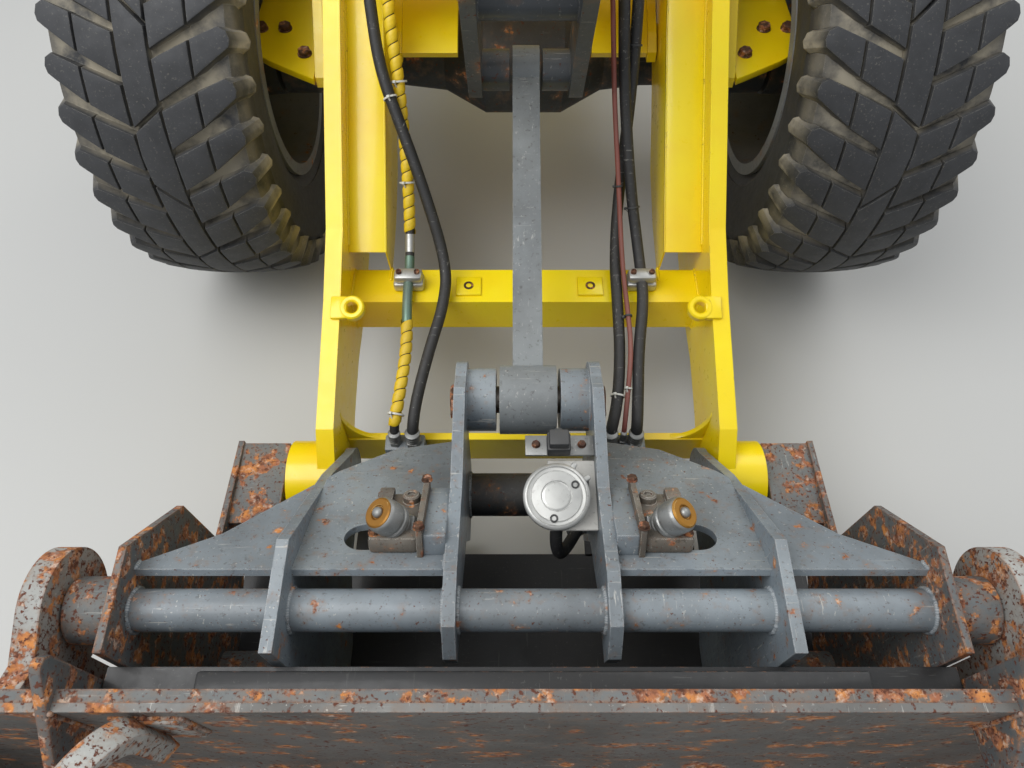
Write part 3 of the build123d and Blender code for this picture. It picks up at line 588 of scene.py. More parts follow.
class Tool:
    """A Geometry Nodes tree with named inputs, run on a mesh to give another mesh."""

    def __init__(self, name: str, sockets: dict[str, str]) -> None:
        """Make the tree with a Geometry input, the named sockets and a Geometry output."""
        self.tree = bpy.data.node_groups.new(name, "GeometryNodeTree")
        self.ids = {}
        self.tree.interface.new_socket("Geometry", in_out="INPUT",
                                       socket_type="NodeSocketGeometry")
        for label, kind in sockets.items():
            made = self.tree.interface.new_socket(label, in_out="INPUT",
                                                  socket_type=f"NodeSocket{kind}")
            self.ids[label] = made.identifier
        self.tree.interface.new_socket("Geometry", in_out="OUTPUT",
                                       socket_type="NodeSocketGeometry")
        self.inputs = add_node(self.tree, "NodeGroupInput").outputs

    def end(self, geometry: Socket) -> None:
        """Realise the instances, set the material and close the tree."""
        real = add_node(self.tree, "GeometryNodeRealizeInstances", {0: geometry})
        painted = add_node(self.tree, "GeometryNodeSetMaterial", {
            "Geometry": real.outputs[0], "Material": self.inputs["Material"]})
        add_node(self.tree, "NodeGroupOutput", {0: painted.outputs[0]})

    def run(self, mesh: bpy.types.Mesh, values: dict[str, object]) -> bpy.types.Mesh:
        """Run the tree on a mesh.

        Args:
            mesh: What the modifier's object holds.
            values: Input values by name.

        Returns:
            The result as a plain mesh.
        """
        obj = bpy.data.objects.new("worked", mesh)
        bpy.context.scene.collection.objects.link(obj)
        modifier = obj.modifiers.new("tool", "NODES")
        modifier.node_group = self.tree
        for label, value in values.items():
            modifier[self.ids[label]] = value
        graph = bpy.context.evaluated_depsgraph_get()
        result = bpy.data.meshes.new_from_object(obj.evaluated_get(graph))
        bpy.data.objects.remove(obj)
        return result


def scatter_tool() -> Tool:
    """Tree that stands a copy of an object on each point, its Z along the point's axis."""
    tool = Tool("stand_on_points", {"Part": "Object", "Seed": "Int", "Turn": "Float",
                                    "Material": "Material"})
    tree = tool.tree
    axis = add_node(tree, "GeometryNodeInputNamedAttribute", {"Name": "axis"},
                    data_type="FLOAT_VECTOR").outputs[0]
    scale = add_node(tree, "GeometryNodeInputNamedAttribute", {"Name": "size"},
                     data_type="FLOAT").outputs[0]
    upright = add_node(tree, "FunctionNodeAlignRotationToVector", {"Vector": axis}, axis="Z")
    angle = add_node(tree, "FunctionNodeRandomValue", {
        3: tool.inputs["Turn"], "Seed": tool.inputs["Seed"]}, data_type="FLOAT")
    spin = add_node(tree, "FunctionNodeAxisAngleToRotation", {
        "Axis": (0, 0, 1), "Angle": angle.outputs[1]})
    turn = add_node(tree, "FunctionNodeRotateRotation", {
        "Rotation": upright.outputs[0], "Rotate By": spin.outputs[0]}, rotation_space="LOCAL")
    part = add_node(tree, "GeometryNodeObjectInfo", {"Object": tool.inputs["Part"]})
    copies = add_node(tree, "GeometryNodeInstanceOnPoints", {
        "Points": tool.inputs["Geometry"], "Instance": part.outputs["Geometry"],
        "Rotation": turn.outputs[0], "Scale": scale})
    tool.end(copies.outputs[0])
    return tool


def ring_tool() -> Tool:
    """Tree that repeats an object round an axis parallel to X and joins it to the mesh."""
    tool = Tool("repeat_round_axle", {"Part": "Object", "Count": "Int", "Centre": "Vector",
                                      "Material": "Material"})
    tree = tool.tree
    points = add_node(tree, "GeometryNodeMeshLine", {
        "Count": tool.inputs["Count"], "Start Location": tool.inputs["Centre"],
        "Offset": (0, 0, 0)})
    index = add_node(tree, "GeometryNodeInputIndex")
    step = add_node(tree, "ShaderNodeMath", {0: 2 * math.pi, 1: tool.inputs["Count"]},
                    operation="DIVIDE")
    angle = add_node(tree, "ShaderNodeMath", {0: index.outputs[0], 1: step.outputs[0]},
                     operation="MULTIPLY")
    turn = add_node(tree, "ShaderNodeCombineXYZ", {"X": angle.outputs[0]})
    part = add_node(tree, "GeometryNodeObjectInfo", {"Object": tool.inputs["Part"]})
    copies = add_node(tree, "GeometryNodeInstanceOnPoints", {
        "Points": points.outputs[0], "Instance": part.outputs["Geometry"],
        "Rotation": turn.outputs[0]})
    both = add_node(tree, "GeometryNodeJoinGeometry")
    tree.links.new(tool.inputs["Geometry"], both.inputs[0])
    tree.links.new(copies.outputs[0], both.inputs[0])
    tool.end(both.outputs[0])
    return tool


def bead_tool() -> Tool:
    """Tree that lays overlapping ripples along a line of edges, as a weld bead."""
    tool = Tool("weld_bead", {"Radius": "Float", "Pitch": "Float", "Seed": "Int",
                              "Material": "Material"})
    tree = tool.tree
    curve = add_node(tree, "GeometryNodeMeshToCurve", {0: tool.inputs["Geometry"]})
    points = add_node(tree, "GeometryNodeCurveToPoints", {
        "Curve": curve.outputs[0], "Length": tool.inputs["Pitch"]}, mode="LENGTH")
    ripple = add_node(tree, "GeometryNodeMeshIcoSphere", {
        "Radius": tool.inputs["Radius"], "Subdivisions": 2})
    size = add_node(tree, "FunctionNodeRandomValue", {
        2: 0.82, 3: 1.12, "Seed": tool.inputs["Seed"]}, data_type="FLOAT")
    copies = add_node(tree, "GeometryNodeInstanceOnPoints", {
        "Points": points.outputs[0], "Instance": ripple.outputs[0],
        "Rotation": points.outputs["Rotation"], "Scale": size.outputs[1]})
    smooth = add_node(tree, "GeometryNodeSetShadeSmooth", {0: copies.outputs[0]})
    tool.end(smooth.outputs[0])
    return tool


def spiral_tool() -> Tool:
    """Tree that winds a flat band round a line of edges.

    A grid's X runs along the hose and its Y across the band, whose rims lie on the hose and
    whose middle stands proud by its thickness.
    """
    tool = Tool("wind_band", {"Radius": "Float", "Band": "Float", "Thickness": "Float",
                              "Turns": "Float", "Steps": "Int", "Material": "Material"})
    tree = tool.tree
    curve = add_node(tree, "GeometryNodeMeshToCurve", {0: tool.inputs["Geometry"]}).outputs[0]
    grid = add_node(tree, "GeometryNodeMeshGrid", {
        "Size X": 1.0, "Size Y": 1.0, "Vertices X": tool.inputs["Steps"], "Vertices Y": 6})
    where = add_node(tree, "GeometryNodeInputPosition")
    apart = add_node(tree, "ShaderNodeSeparateXYZ", {0: where.outputs[0]})
    along = add_node(tree, "ShaderNodeMath", {0: apart.outputs["X"], 1: 0.5},
                     operation="ADD").outputs[0]
    length = add_node(tree, "GeometryNodeCurveLength", {0: curve}).outputs[0]
    run = add_node(tree, "ShaderNodeMath", {0: along, 1: length}, operation="MULTIPLY")
    station = add_node(tree, "ShaderNodeMath", {
        0: apart.outputs["Y"], 1: tool.inputs["Band"], 2: run.outputs[0]},
        operation="MULTIPLY_ADD")
    sample = add_node(tree, "GeometryNodeSampleCurve", {
        "Curves": curve, "Length": station.outputs[0]}, mode="LENGTH")
    side = add_node(tree, "ShaderNodeVectorMath", {
        0: sample.outputs["Tangent"], 1: sample.outputs["Normal"]}, operation="CROSS_PRODUCT")
    turns = add_node(tree, "ShaderNodeMath", {0: along, 1: tool.inputs["Turns"]},
                     operation="MULTIPLY")
    angle = add_node(tree, "ShaderNodeMath", {0: turns.outputs[0], 1: 2 * math.pi},
                     operation="MULTIPLY").outputs[0]
    rim = add_node(tree, "ShaderNodeMath", {0: apart.outputs["Y"]}, operation="ABSOLUTE")
    proud = add_node(tree, "ShaderNodeMapRange", {
        "Value": rim.outputs[0], "From Min": 0.5, "From Max": 0.31})
    lift = add_node(tree, "ShaderNodeMath", {
        0: proud.outputs[0], 1: tool.inputs["Thickness"], 2: tool.inputs["Radius"]},
        operation="MULTIPLY_ADD").outputs[0]
    reach = sample.outputs["Position"]
    for wave, axis in (("COSINE", sample.outputs["Normal"]), ("SINE", side.outputs[0])):
        share = add_node(tree, "ShaderNodeMath", {0: angle}, operation=wave)
        arm = add_node(tree, "ShaderNodeMath", {0: share.outputs[0], 1: lift},
                       operation="MULTIPLY")
        step = add_node(tree, "ShaderNodeVectorMath", {0: axis, "Scale": arm.outputs[0]},
                        operation="SCALE")
        reach = add_node(tree, "ShaderNodeVectorMath", {0: reach, 1: step.outputs[0]},
                         operation="ADD").outputs[0]
    wound = add_node(tree, "GeometryNodeSetPosition", {
        "Geometry": grid.outputs[0], "Position": reach})
    smooth = add_node(tree, "GeometryNodeSetShadeSmooth", {0: wound.outputs[0]})
    tool.end(smooth.outputs[0])
    return tool


def sleeve_tool() -> Tool:
    """Tree that pulls a round sleeve over a line of edges."""
    tool = Tool("sleeve", {"Radius": "Float", "Material": "Material"})
    tree = tool.tree
    curve = add_node(tree, "GeometryNodeMeshToCurve", {0: tool.inputs["Geometry"]})
    rim = add_node(tree, "GeometryNodeCurvePrimitiveCircle", {
        "Resolution": 24, "Radius": tool.inputs["Radius"]})
    tube = add_node(tree, "GeometryNodeCurveToMesh", {
        "Curve": curve.outputs[0], "Profile Curve": rim.outputs[0], "Fill Caps": True})
    smooth = add_node(tree, "GeometryNodeSetShadeSmooth", {0: tube.outputs[0]})
    tool.end(smooth.outputs[0])
    return tool


@dataclass
class Toolbox:
    """The Geometry Nodes trees that the sub-assemblies share."""
    scatter: Tool = field(default_factory=scatter_tool)
    ring: Tool = field(default_factory=ring_tool)
    bead: Tool = field(default_factory=bead_tool)
    spiral: Tool = field(default_factory=spiral_tool)
    sleeve: Tool = field(default_factory=sleeve_tool)


# Tyres

@dataclass
class Tyre:
    """Block-tread tyre: a turned carcass and a tread cell repeated round it."""
    side: int
    tools: Toolbox
    radius: float = 0.655
    half_width: float = 0.221
    drop: float = 0.026
    depth: float = 0.027
    cells: int = 9
    lugs: int = 4
    block_split: float = 0.128
    centre_edge: float = 0.041

    @property
    def pitch(self) -> float:
        """Distance along the tread from one shoulder lug to the next."""
        return 2 * math.pi * self.radius / (self.cells * self.lugs)

    def crown(self, across: float) -> float:
        """Radius of the block tops at a distance from the tyre's middle plane."""
        return self.radius - self.drop * min(1.2, abs(across) / self.half_width) ** 2.4

    def rolled(self, across: float, along: float, sunk: float) -> Vector:
        """Point of the tread about the axle.

        Args:
            across: Distance from the middle plane, towards the machine's middle.
            along: Distance round the tread, upwards at the front.
            sunk: Depth under the block tops.

        Returns:
            The point, with the axle's centre as its origin.
        """
        reach = self.crown(across) - sunk
        turn = along / self.radius
        return Vector((-self.side * across, -reach * math.cos(turn), reach * math.sin(turn)))

    def outlines(self) -> list[tuple[list[tuple[float, float]], float]]:
        """Outlines of the cell's blocks with how far each root spreads at the shoulder."""
        pitch, edge, split = self.pitch, self.centre_edge, self.block_split
        shoulder = self.half_width - 0.004
        found = []
        for mirror, shift in ((1, 0.0), (-1, 0.5)):
            for lug in range(self.lugs):
                low = lug + shift - 0.5
                inner = [(edge, low + 0.07), (split - 0.003, low + 0.50),
                         (split - 0.003, low + 1.22), (edge, low + 0.88)]
                outer = [(split + 0.003, low + 0.54), (shoulder - 0.022, low + 0.97),
                         (shoulder - 0.004, low + 1.10), (shoulder, low + 1.25),
                         (shoulder - 0.006, low + 1.42), (shoulder - 0.024, low + 1.50),
                         (split + 0.003, low + 1.25)]
                for shape, spread in ((inner, 0.0), (outer, 0.020)):
                    found.append(([(mirror * u, s * pitch) for u, s in shape], spread))
        edge -= 0.007
        centre = [
            [(-edge, 0.75), (edge, 0.10), (edge + 0.004, 1.20), (edge, 2.38), (-edge, 1.93),
             (-edge - 0.004, 1.40)],
            [(-edge, 2.05), (edge, 2.50), (edge, 3.98), (-edge, 4.63)],
        ]
        found += [([(u, s * pitch) for u, s in shape], 0.0) for shape in centre]
        return found

    def cell(self) -> bpy.types.Mesh:
        """One tread cell: built flat with bevelled rims, cut across, then rolled up.

        Returns:
            Mesh about the axle's centre, with a groove attribute that is 1 at its foot.
        """
        cell = bmesh.new()
        groove = cell.verts.layers.float.new("groove")
        for outline, spread in self.outlines():
            form = prism(outline, -self.depth, 0.0)
            tops = [e for e in form.edges if max(v.co.z for v in e.verts) > -1e-6
                    and min(v.co.z for v in e.verts) > -1e-6]
            for vert in form.verts:
                if vert.co.z < -1e-6:
                    middle = Vector((sum(u for u, _ in outline), sum(s for _, s in outline), 0))
                    away = vert.co - middle / len(outline)
                    vert.co += Vector((away.x, away.y, 0)).normalized() * 0.0045
                    if spread and abs(vert.co.x) > self.half_width - 0.03:
                        vert.co += Vector((math.copysign(spread, vert.co.x), 0, -0.045))
            bmesh.ops.bevel(form, geom=tops, offset=0.0035, segments=2, affect="EDGES",
                            profile=0.6)
            step = math.radians(3.0) * self.radius
            low = min(v.co.y for v in form.verts)
            high = max(v.co.y for v in form.verts)
            for cut in range(math.ceil(low / step), math.ceil(high / step)):
                bmesh.ops.bisect_plane(form, geom=form.verts[:] + form.edges[:] + form.faces[:],
                                       plane_co=(0, cut * step, 0), plane_no=(0, 1, 0))
            piece = bpy.data.meshes.new("lug")
            form.to_mesh(piece)
            form.free()
            cell.from_mesh(piece)
            bpy.data.meshes.remove(piece)
        for vert in cell.verts:
            vert[groove] = min(1.0, max(0.0, (-vert.co.z - 0.004) / (self.depth - 0.006)))
            vert.co = self.rolled(vert.co.x, vert.co.y, -vert.co.z)
        bmesh.ops.recalc_face_normals(cell, faces=cell.faces)
        mesh = bpy.data.meshes.new("tread_cell")
        cell.to_mesh(mesh)
        cell.free()
        return mesh

    def carcass(self) -> bpy.types.Mesh:
        """Turned casing with its sidewall ribs, open towards the rim."""
        floor = self.depth - 0.002
        profile = [(0.172, 0.332), (0.180, 0.346), (0.186, 0.366), (0.196, 0.382),
                   (0.199, 0.386), (0.203, 0.386), (0.213, 0.42), (0.221, 0.46), (0.2245, 0.50),
                   (0.2235, 0.53), (0.2255, 0.536), (0.2255, 0.544), (0.2225, 0.55),
                   (0.219, 0.575), (0.212, 0.592), (0.203, self.crown(0.203) - floor)]
        profile += [(u, self.crown(u) - floor) for u in (0.16, 0.11, 0.055, 0.0)]
        profile += [(-u, r) for u, r in reversed(profile[:-1])]
        profile += [(-0.160, 0.335), (-0.200, 0.44), (-0.200, 0.54), (-0.13, 0.585),
                    (0.13, 0.585), (0.200, 0.54), (0.200, 0.44), (0.160, 0.335)]
        form = bmesh.new()
        groove = form.verts.layers.float.new("groove")
        wall = form.verts.layers.float.new("wall")
        rings, segments = [], 120
        for u, r in profile:
            ring = []
            for k in range(segments):
                turn = 2 * math.pi * k / segments
                vert = form.verts.new((u, -r * math.cos(turn), r * math.sin(turn)))
                vert[groove] = 1.0 if abs(u) < 0.19 and r > 0.59 else 0.35 * (r > 0.57)
                vert[wall] = 1.0 if r < 0.58 else 0.0
                ring.append(vert)
            rings.append(ring)
        for low, high in zip(rings, rings[1:] + rings[:1]):
            for k in range(segments):
                after = (k + 1) % segments
                form.faces.new((low[k], low[after], high[after], high[k]))
        bmesh.ops.recalc_face_normals(form, faces=form.faces)
        bmesh.ops.translate(form, vec=self.centre, verts=form.verts)
        mesh = bpy.data.meshes.new("carcass")
        form.to_mesh(mesh)
        form.free()
        return mesh

    @property
    def centre(self) -> Vector:
        """Centre of the tyre."""
        return Vector((self.side * HALF_TRACK, AXLE_Y, AXLE_Z))

    def build(self) -> None:
        """Make the tyre and put it in the CAD tyre's place."""
        label = "left" if self.side > 0 else "right"
        cell = bpy.data.objects.new("tread_cell", self.cell())
        bpy.context.scene.collection.objects.link(cell)
        mesh = self.tools.ring.run(self.carcass(), {
            "Part": cell, "Count": self.cells, "Centre": self.centre,
            "Material": PAINT.get(TREAD_RUBBER)})
        bpy.data.objects.remove(cell)
        tyre = finished(mesh, f"tread_tyre_{label}", f"wheel_{label}", TREAD_RUBBER, 32)
        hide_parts(f"tyre_{label}")


# Forms that several sub-assemblies share

class Side(Enum):
    """Side of the machine as its driver sees it."""
    LEFT = 1
    RIGHT = -1

    @property
    def label(self) -> str:
        """Lower-case name for pieces."""
        return self.name.lower()


Outline = list[tuple[float, float]]


def side_plate(outline: Outline, inner: float, outer: float, side: Side,
               bevel: float = 1.5) -> tuple[bmesh.types.BMesh, Matrix]:
    """Plate seen from the side, between two distances from the middle plane.

    Args:
        outline: (ahead, up) corners in millimetres.
        inner: Distance of its inner face from the middle plane.
        outer: Distance of its outer face.
        side: Side of the machine.
        bevel: Width of its bevelled rims.

    Returns:
        The form and the matrix that puts it in its place.
    """
    form = prism([(a * MM, z * MM) for a, z in outline], (outer - inner) * MM, bevel * MM)
    turn = Matrix(((0, 0, side.value, side.value * inner * MM), (-1, 0, 0, AXLE_Y),
                   (0, 1, 0, 0), (0, 0, 0, 1)))
    return form, turn


def ring(outer: float, inner: float, height: float, edge: float = 1.5,
         segments: int = 40) -> bmesh.types.BMesh:
    """Turned ring on z 0 with broken edges, sizes in millimetres."""
    profile = [(inner, 0), (outer - edge, 0), (outer, edge), (outer, height - edge),
               (outer - edge, height), (inner + edge, height), (inner, height - edge), (inner, 0)]
    form = turned([(r * MM, h * MM) for r, h in profile], segments)
    bmesh.ops.remove_doubles(form, verts=form.verts, dist=1e-7)
    return form


def knob(*profile: tuple[float, float], segments: int = 40) -> bmesh.types.BMesh:
    """Turned solid from (radius, height) pairs in millimetres."""
    return turned([(r * MM, h * MM) for r, h in profile], segments)


def box(width: float, length: float, height: float, bevel: float) -> bmesh.types.BMesh:
    """Rounded block about the origin, sizes in millimetres."""
    return block((width * MM, length * MM, height * MM), bevel * MM)


def spot(across: float, ahead: float, up: float) -> Matrix:
    """Matrix that moves the origin to a place given in millimetres."""
    return Matrix.Translation(place(across, ahead, up))


def points_mesh(points: list[Vector], axes: list[Vector], sizes: list[float]) -> bpy.types.Mesh:
    """Points for the scatter tree, each with its axis and its size."""
    mesh = bpy.data.meshes.new("points")
    mesh.from_pydata(points, [], [])
    mesh.attributes.new("axis", "FLOAT_VECTOR", "POINT")
    mesh.attributes.new("size", "FLOAT", "POINT")
    for k, (along, scale) in enumerate(zip(axes, sizes)):
        mesh.attributes["axis"].data[k].vector = along
        mesh.attributes["size"].data[k].value = scale
    return mesh


def path_mesh(lines: list[list[Vector]]) -> bpy.types.Mesh:
    """Mesh of edges through each line of points."""
    points, edges = [], []
    for line in lines:
        edges += [(len(points) + k, len(points) + k + 1) for k in range(len(line) - 1)]
        points += line
    mesh = bpy.data.meshes.new("path")
    mesh.from_pydata(points, edges, [])
    return mesh


def circle(across: float, ahead: float, up: float, radius: float) -> list[Vector]:
    """Closed line of points round an axis parallel to the axle, sizes in millimetres."""
    steps = 36
    return [place(across, ahead + radius * math.cos(2 * math.pi * k / steps),
                  up + radius * math.sin(2 * math.pi * k / steps)) for k in range(steps + 1)]


@dataclass
class Fasteners:
    """Screws and nuts of one body, stood on points by the scatter tree."""
    name: str
    body: str
    finish: Finish
    slot: str
    tools: Toolbox
    socket_head: bool = False
    points: list[Vector] = field(default_factory=list)
    axes: list[Vector] = field(default_factory=list)
    sizes: list[float] = field(default_factory=list)

    def put(self, where: Vector, axis: Point, size: float = 1.0) -> None:
        """Stand one fastener at a point, its shank the other way from its axis."""
        self.points.append(where)
        self.axes.append(Vector(axis))
        self.sizes.append(size)

    def head(self) -> bpy.types.Mesh:
        """Head of one fastener with its washer, for an M16 screw."""
        shape = Shape()
        if self.socket_head:
            shape.add(knob((0, 0), (12, 0), (12, 13), (11, 15), (7.5, 15), (6.5, 8), (0, 7.5),
                           segments=18), Matrix.Identity(4))
        else:
            shape.add(knob((0, 0), (15, 0), (15, 2.4), (14.4, 3), (0, 3), segments=20),
                      Matrix.Identity(4))
            shape.add(knob((0, 3), (12.6, 3), (13.6, 4.5), (13.6, 11), (11.5, 13), (0, 13.6),
                           segments=6), Matrix.Identity(4))
        return shape.mesh("head")

    def build(self) -> None:
        """Repeat the head on every point."""
        part = bpy.data.objects.new("head", self.head())
        bpy.context.scene.collection.objects.link(part)
        mesh = self.tools.scatter.run(points_mesh(self.points, self.axes, self.sizes), {
            "Part": part, "Seed": 7, "Turn": 6.28, "Material": PAINT.get(self.finish)})
        bpy.data.objects.remove(part)
        finished(mesh, self.name, self.body, self.finish, 30)


def weld(name: str, body: str, finish: Finish, lines: list[list[Vector]],
         tools: Toolbox, radius: float = 4.5) -> None:
    """Lay a weld bead along lines of points.

    Args:
        name: Name of the piece.
        body: CAD body that it rides on.
        finish: Paint over the bead.
        lines: Lines of points in metres.
        tools: The shared trees.
        radius: Size of the bead in millimetres.
    """
    mesh = tools.bead.run(path_mesh(lines), {
        "Radius": radius * MM, "Pitch": 0.9 * radius * MM, "Seed": 3,
        "Material": PAINT.get(finish)})
    finished(mesh, name, body, finish, 60)


# Hoses

def line_curve(route: tuple[Point, ...], radius: float = 0.0) -> bpy.types.Curve:
    """NURBS curve whose control points are a route.

    Args:
        route: (across, ahead, up) of each control point in millimetres.
        radius: Radius of the tube round it in metres, none for the bare line.

    Returns:
        The curve.
    """
    curve = bpy.data.curves.new("line", "CURVE")
    curve.dimensions = "3D"
    curve.resolution_u = 12
    curve.bevel_depth = radius
    curve.bevel_resolution = 6
    curve.use_fill_caps = radius > 0
    spline = curve.splines.new("NURBS")
    spline.points.add(len(route) - 1)
    for point, at in zip(spline.points, route):
        point.co = (*place(*at), 1.0)
    spline.order_u = 3
    spline.use_endpoint_u = True
    return curve


def curve_mesh(curve: bpy.types.Curve) -> bpy.types.Mesh:
    """The curve as a plain mesh."""
    obj = bpy.data.objects.new("line", curve)
    bpy.context.scene.collection.objects.link(obj)
    graph = bpy.context.evaluated_depsgraph_get()
    mesh = bpy.data.meshes.new_from_object(obj.evaluated_get(graph))
    bpy.data.objects.remove(obj)
    return mesh


@dataclass
class Hose:
    """Hose held between two fittings, with the pieces that lie along it."""
    name: str
    radius: float
    finish: Finish
    route: tuple[Point, ...]
    body: str = "lift_frame"
    nut: float = 1.45

    def line(self) -> list[Vector]:
        """Points of the hose's middle line, read from its curve."""
        return [vert.co.copy() for vert in curve_mesh(line_curve(self.route)).vertices]

    def between(self, start: float, end: float) -> list[Vector]:
        """Points from one distance ahead of the axle to another, in millimetres."""
        return [p for p in self.line() if start <= (AXLE_Y - p.y) / MM <= end]

    def at(self, ahead: float) -> tuple[Vector, Vector]:
        """Point and direction of the line at a distance ahead of the axle."""
        line = self.line()
        k = min(range(1, len(line) - 1), key=lambda i: abs((AXLE_Y - line[i].y) / MM - ahead))
        return line[k], (line[k + 1] - line[k - 1]).normalized()

    def build(self) -> None:
        """Make the hose with its crimped ferrules and swivel nuts."""
        tube = curve_mesh(line_curve(self.route, self.radius * MM))
        finished(tube, f"hose_{self.name}", self.body, self.finish, 50)
        shape, line, r = Shape(), self.line(), self.radius
        for end, inward in ((line[0], line[2] - line[0]), (line[-1], line[-3] - line[-1])):
            where = aim(end, inward)
            shape.add(knob((0, -3), (r * self.nut, -3), (r * self.nut, 13), (r * 1.2, 15),
                           (0, 15), segments=6), where)
            shape.add(knob((0, 13), (r * 1.15, 14), (r * 1.3, 17), (r * 1.3, 23), (r * 1.2, 24),
                           (r * 1.3, 25), (r * 1.3, 33), (r * 1.2, 34), (r * 1.3, 35),
                           (r * 1.3, 43), (r * 1.05, 45), (0, 45)), where)
        finished(shape.mesh("ends"), f"ends_{self.name}", self.body, ZINC, 35)


@dataclass
class HoseRun:
    """The hoses over the cross tubes with their blocks, clamps, wraps and ties."""
    tools: Toolbox
    clamp_x: float = 311
    wrap_pitch: float = 31
    wrap_radius: float = 15.5

    def hoses(self) -> dict[str, Hose]:
        """Every hose of the run by name."""
        runs = [
            Hose("yellow", 12, HOSE_RUBBER, (
                (-348, 175, 1075), (-348, 222, 1075), (-341, 300, 985), (-323, 400, 850),
                (-309, 560, 650), (-311, 690, 511), (-311, 830, 511), (-306, 960, 468),
                (-322, 1090, 434), (-334, 1165, 400), (-334, 1165, 345))),
            Hose("outer_left", 15, HOSE_RUBBER, (
                (-392, 175, 1078), (-392, 224, 1078), (-384, 300, 990), (-366, 400, 886),
                (-318, 500, 800), (-262, 610, 684), (-207, 740, 535), (-214, 850, 508),
                (-248, 965, 472), (-278, 1090, 430), (-288, 1165, 392), (-288, 1165, 345))),
            Hose("outer_right", 15, HOSE_RUBBER, (
                (238, 175, 1075), (238, 222, 1075), (243, 300, 985), (251, 400, 850),
                (279, 560, 650), (311, 690, 511), (311, 830, 511), (292, 960, 468),
                (284, 1090, 430), (280, 1165, 395), (280, 1165, 345))),
            Hose("inner_right", 15, HOSE_RUBBER, (
                (278, 175, 1076), (278, 224, 1076), (278, 300, 968), (274, 400, 800),
                (252, 560, 590), (243, 700, 512), (243, 825, 499), (246, 960, 455),
                (234, 1090, 425), (214, 1165, 390), (214, 1165, 345))),
            Hose("red", 6.5, RED_HOSE, (
                (208, 175, 1085), (208, 210, 1085), (212, 275, 1020), (220, 350, 918),
                (230, 440, 800), (246, 550, 672), (257, 650, 566), (261, 760, 524),
                (266, 860, 509), (272, 960, 478), (262, 1050, 450), (252, 1125, 418),
                (248, 1165, 385), (248, 1165, 345)), nut=1.8),
        ]
        return {run.name: run for run in runs}

    def sleeves(self, hose: Hose) -> None:
        """Bare steel and green stretch of tube above the clamp, and the two spiral wraps."""
        for name, start, end, radius, finish in (
                ("steel", 640, 690, 13.2, CAST_ALUMINIUM),
                ("green", 690, 900, 13.0, GREEN_PASSIVATED)):
            mesh = self.tools.sleeve.run(path_mesh([hose.between(start, end)]), {
                "Radius": radius * MM, "Material": PAINT.get(finish)})
            finished(mesh, f"sleeve_{name}", "lift_frame", finish, 50)
        for name, start, end in (("upper", 215, 648), ("lower", 872, 1150)):
            points = hose.between(start, end)
            length = sum((b - a).length for a, b in zip(points, points[1:]))
            turns = length / (self.wrap_pitch * MM)
            mesh = self.tools.spiral.run(path_mesh([points]), {
                "Radius": (self.wrap_radius - 2.0) * MM, "Band": (self.wrap_pitch - 2.5) * MM,
                "Thickness": 2.4 * MM, "Turns": turns, "Steps": int(turns * 18),
                "Material": PAINT.get(YELLOW_SPIRAL)})
            finished(mesh, f"wrap_{name}", "lift_frame", YELLOW_SPIRAL, 60)

    def blocks(self) -> None:
        """Manifolds that the hoses end in, on the upper tube and before the foot plate."""
        shape = Shape()
        for low, high in ((-416, -318), (184, 302)):
            shape.add(box(high - low, 45, 82, 5), spot((low + high) / 2, 152.5, 1071))
        for low, high in ((-362, -260), (190, 308)):
            shape.add(box(high - low, 46, 130, 5), spot((low + high) / 2, 1165, 280))
        finished(shape.mesh("blocks"), "hose_manifolds", "lift_frame", GREY_ENAMEL, 30)

    def clamps(self) -> None:
        """Die-cast clamps on the box tube, each with two socket-head screws."""
        shape = Shape()
        screws = Fasteners("clamp_screws", "lift_frame", RUSTED_BOLT, "bare_steel", self.tools,
                           True)
        for side in Side:
            x = side.value * self.clamp_x
            shape.add(box(82, 46, 30, 9), spot(x, 760, 496))
            shape.add(box(76, 40, 26, 11), spot(x, 760, 523))
            for lean in (-24, 24):
                screws.put(place(x + lean, 760, 534), (0, 0, 1), 0.62)
        finished(shape.mesh("clamps"), "hose_clamps", "lift_frame", CAST_ALUMINIUM, 40)
        screws.build()

    def ties(self, hoses: dict[str, Hose]) -> None:
        """Cable ties: strap, head and a tail cut at a slant."""
        plans = (
            ("white", NYLON, "light_grey_paint", 0.4, (
                ("yellow", 395, 21), ("yellow", 555, 21), ("yellow", 1120, 20),
                ("red", 1060, 9), ("inner_right", 1075, 17), ("outer_left", 450, 17))),
            ("black", BLACK_NYLON, "black_paint", 2.0, (
                ("inner_right", 330, 17), ("inner_right", 480, 17), ("red", 560, 9),
                ("outer_right", 600, 17), ("red", 880, 9))))
        for shade, finish, slot, head_turn, places in plans:
            shape = Shape()
            for name, ahead, radius in places:
                where, along = hoses[name].at(ahead)
                turn = aim(where, along, head_turn)
                shape.add(ring(radius + 1.4, radius - 0.6, 5, 0.5), turn)
                shape.add(box(8, 7, 7, 1.2), turn @ Matrix.Translation(
                    (0, (radius + 3.5) * MM, 2.5 * MM)))
                tail = Matrix.Rotation(0.7, 4, "X") @ Matrix.Translation((0, 0, 12 * MM))
                shape.add(box(4.5, 1.2, 24, 0.4), turn @ Matrix.Translation(
                    (0, (radius + 5) * MM, 3 * MM)) @ tail)
            finished(shape.mesh("ties"), f"ties_nylon_{shade}", "lift_frame", finish, 40)

    def build(self) -> None:
        """Make every piece of the run."""
        hoses = self.hoses()
        for hose in hoses.values():
            hose.build()
        self.sleeves(hoses["yellow"])
        self.blocks()
        self.clamps()
        self.ties(hoses)


# Lift frame

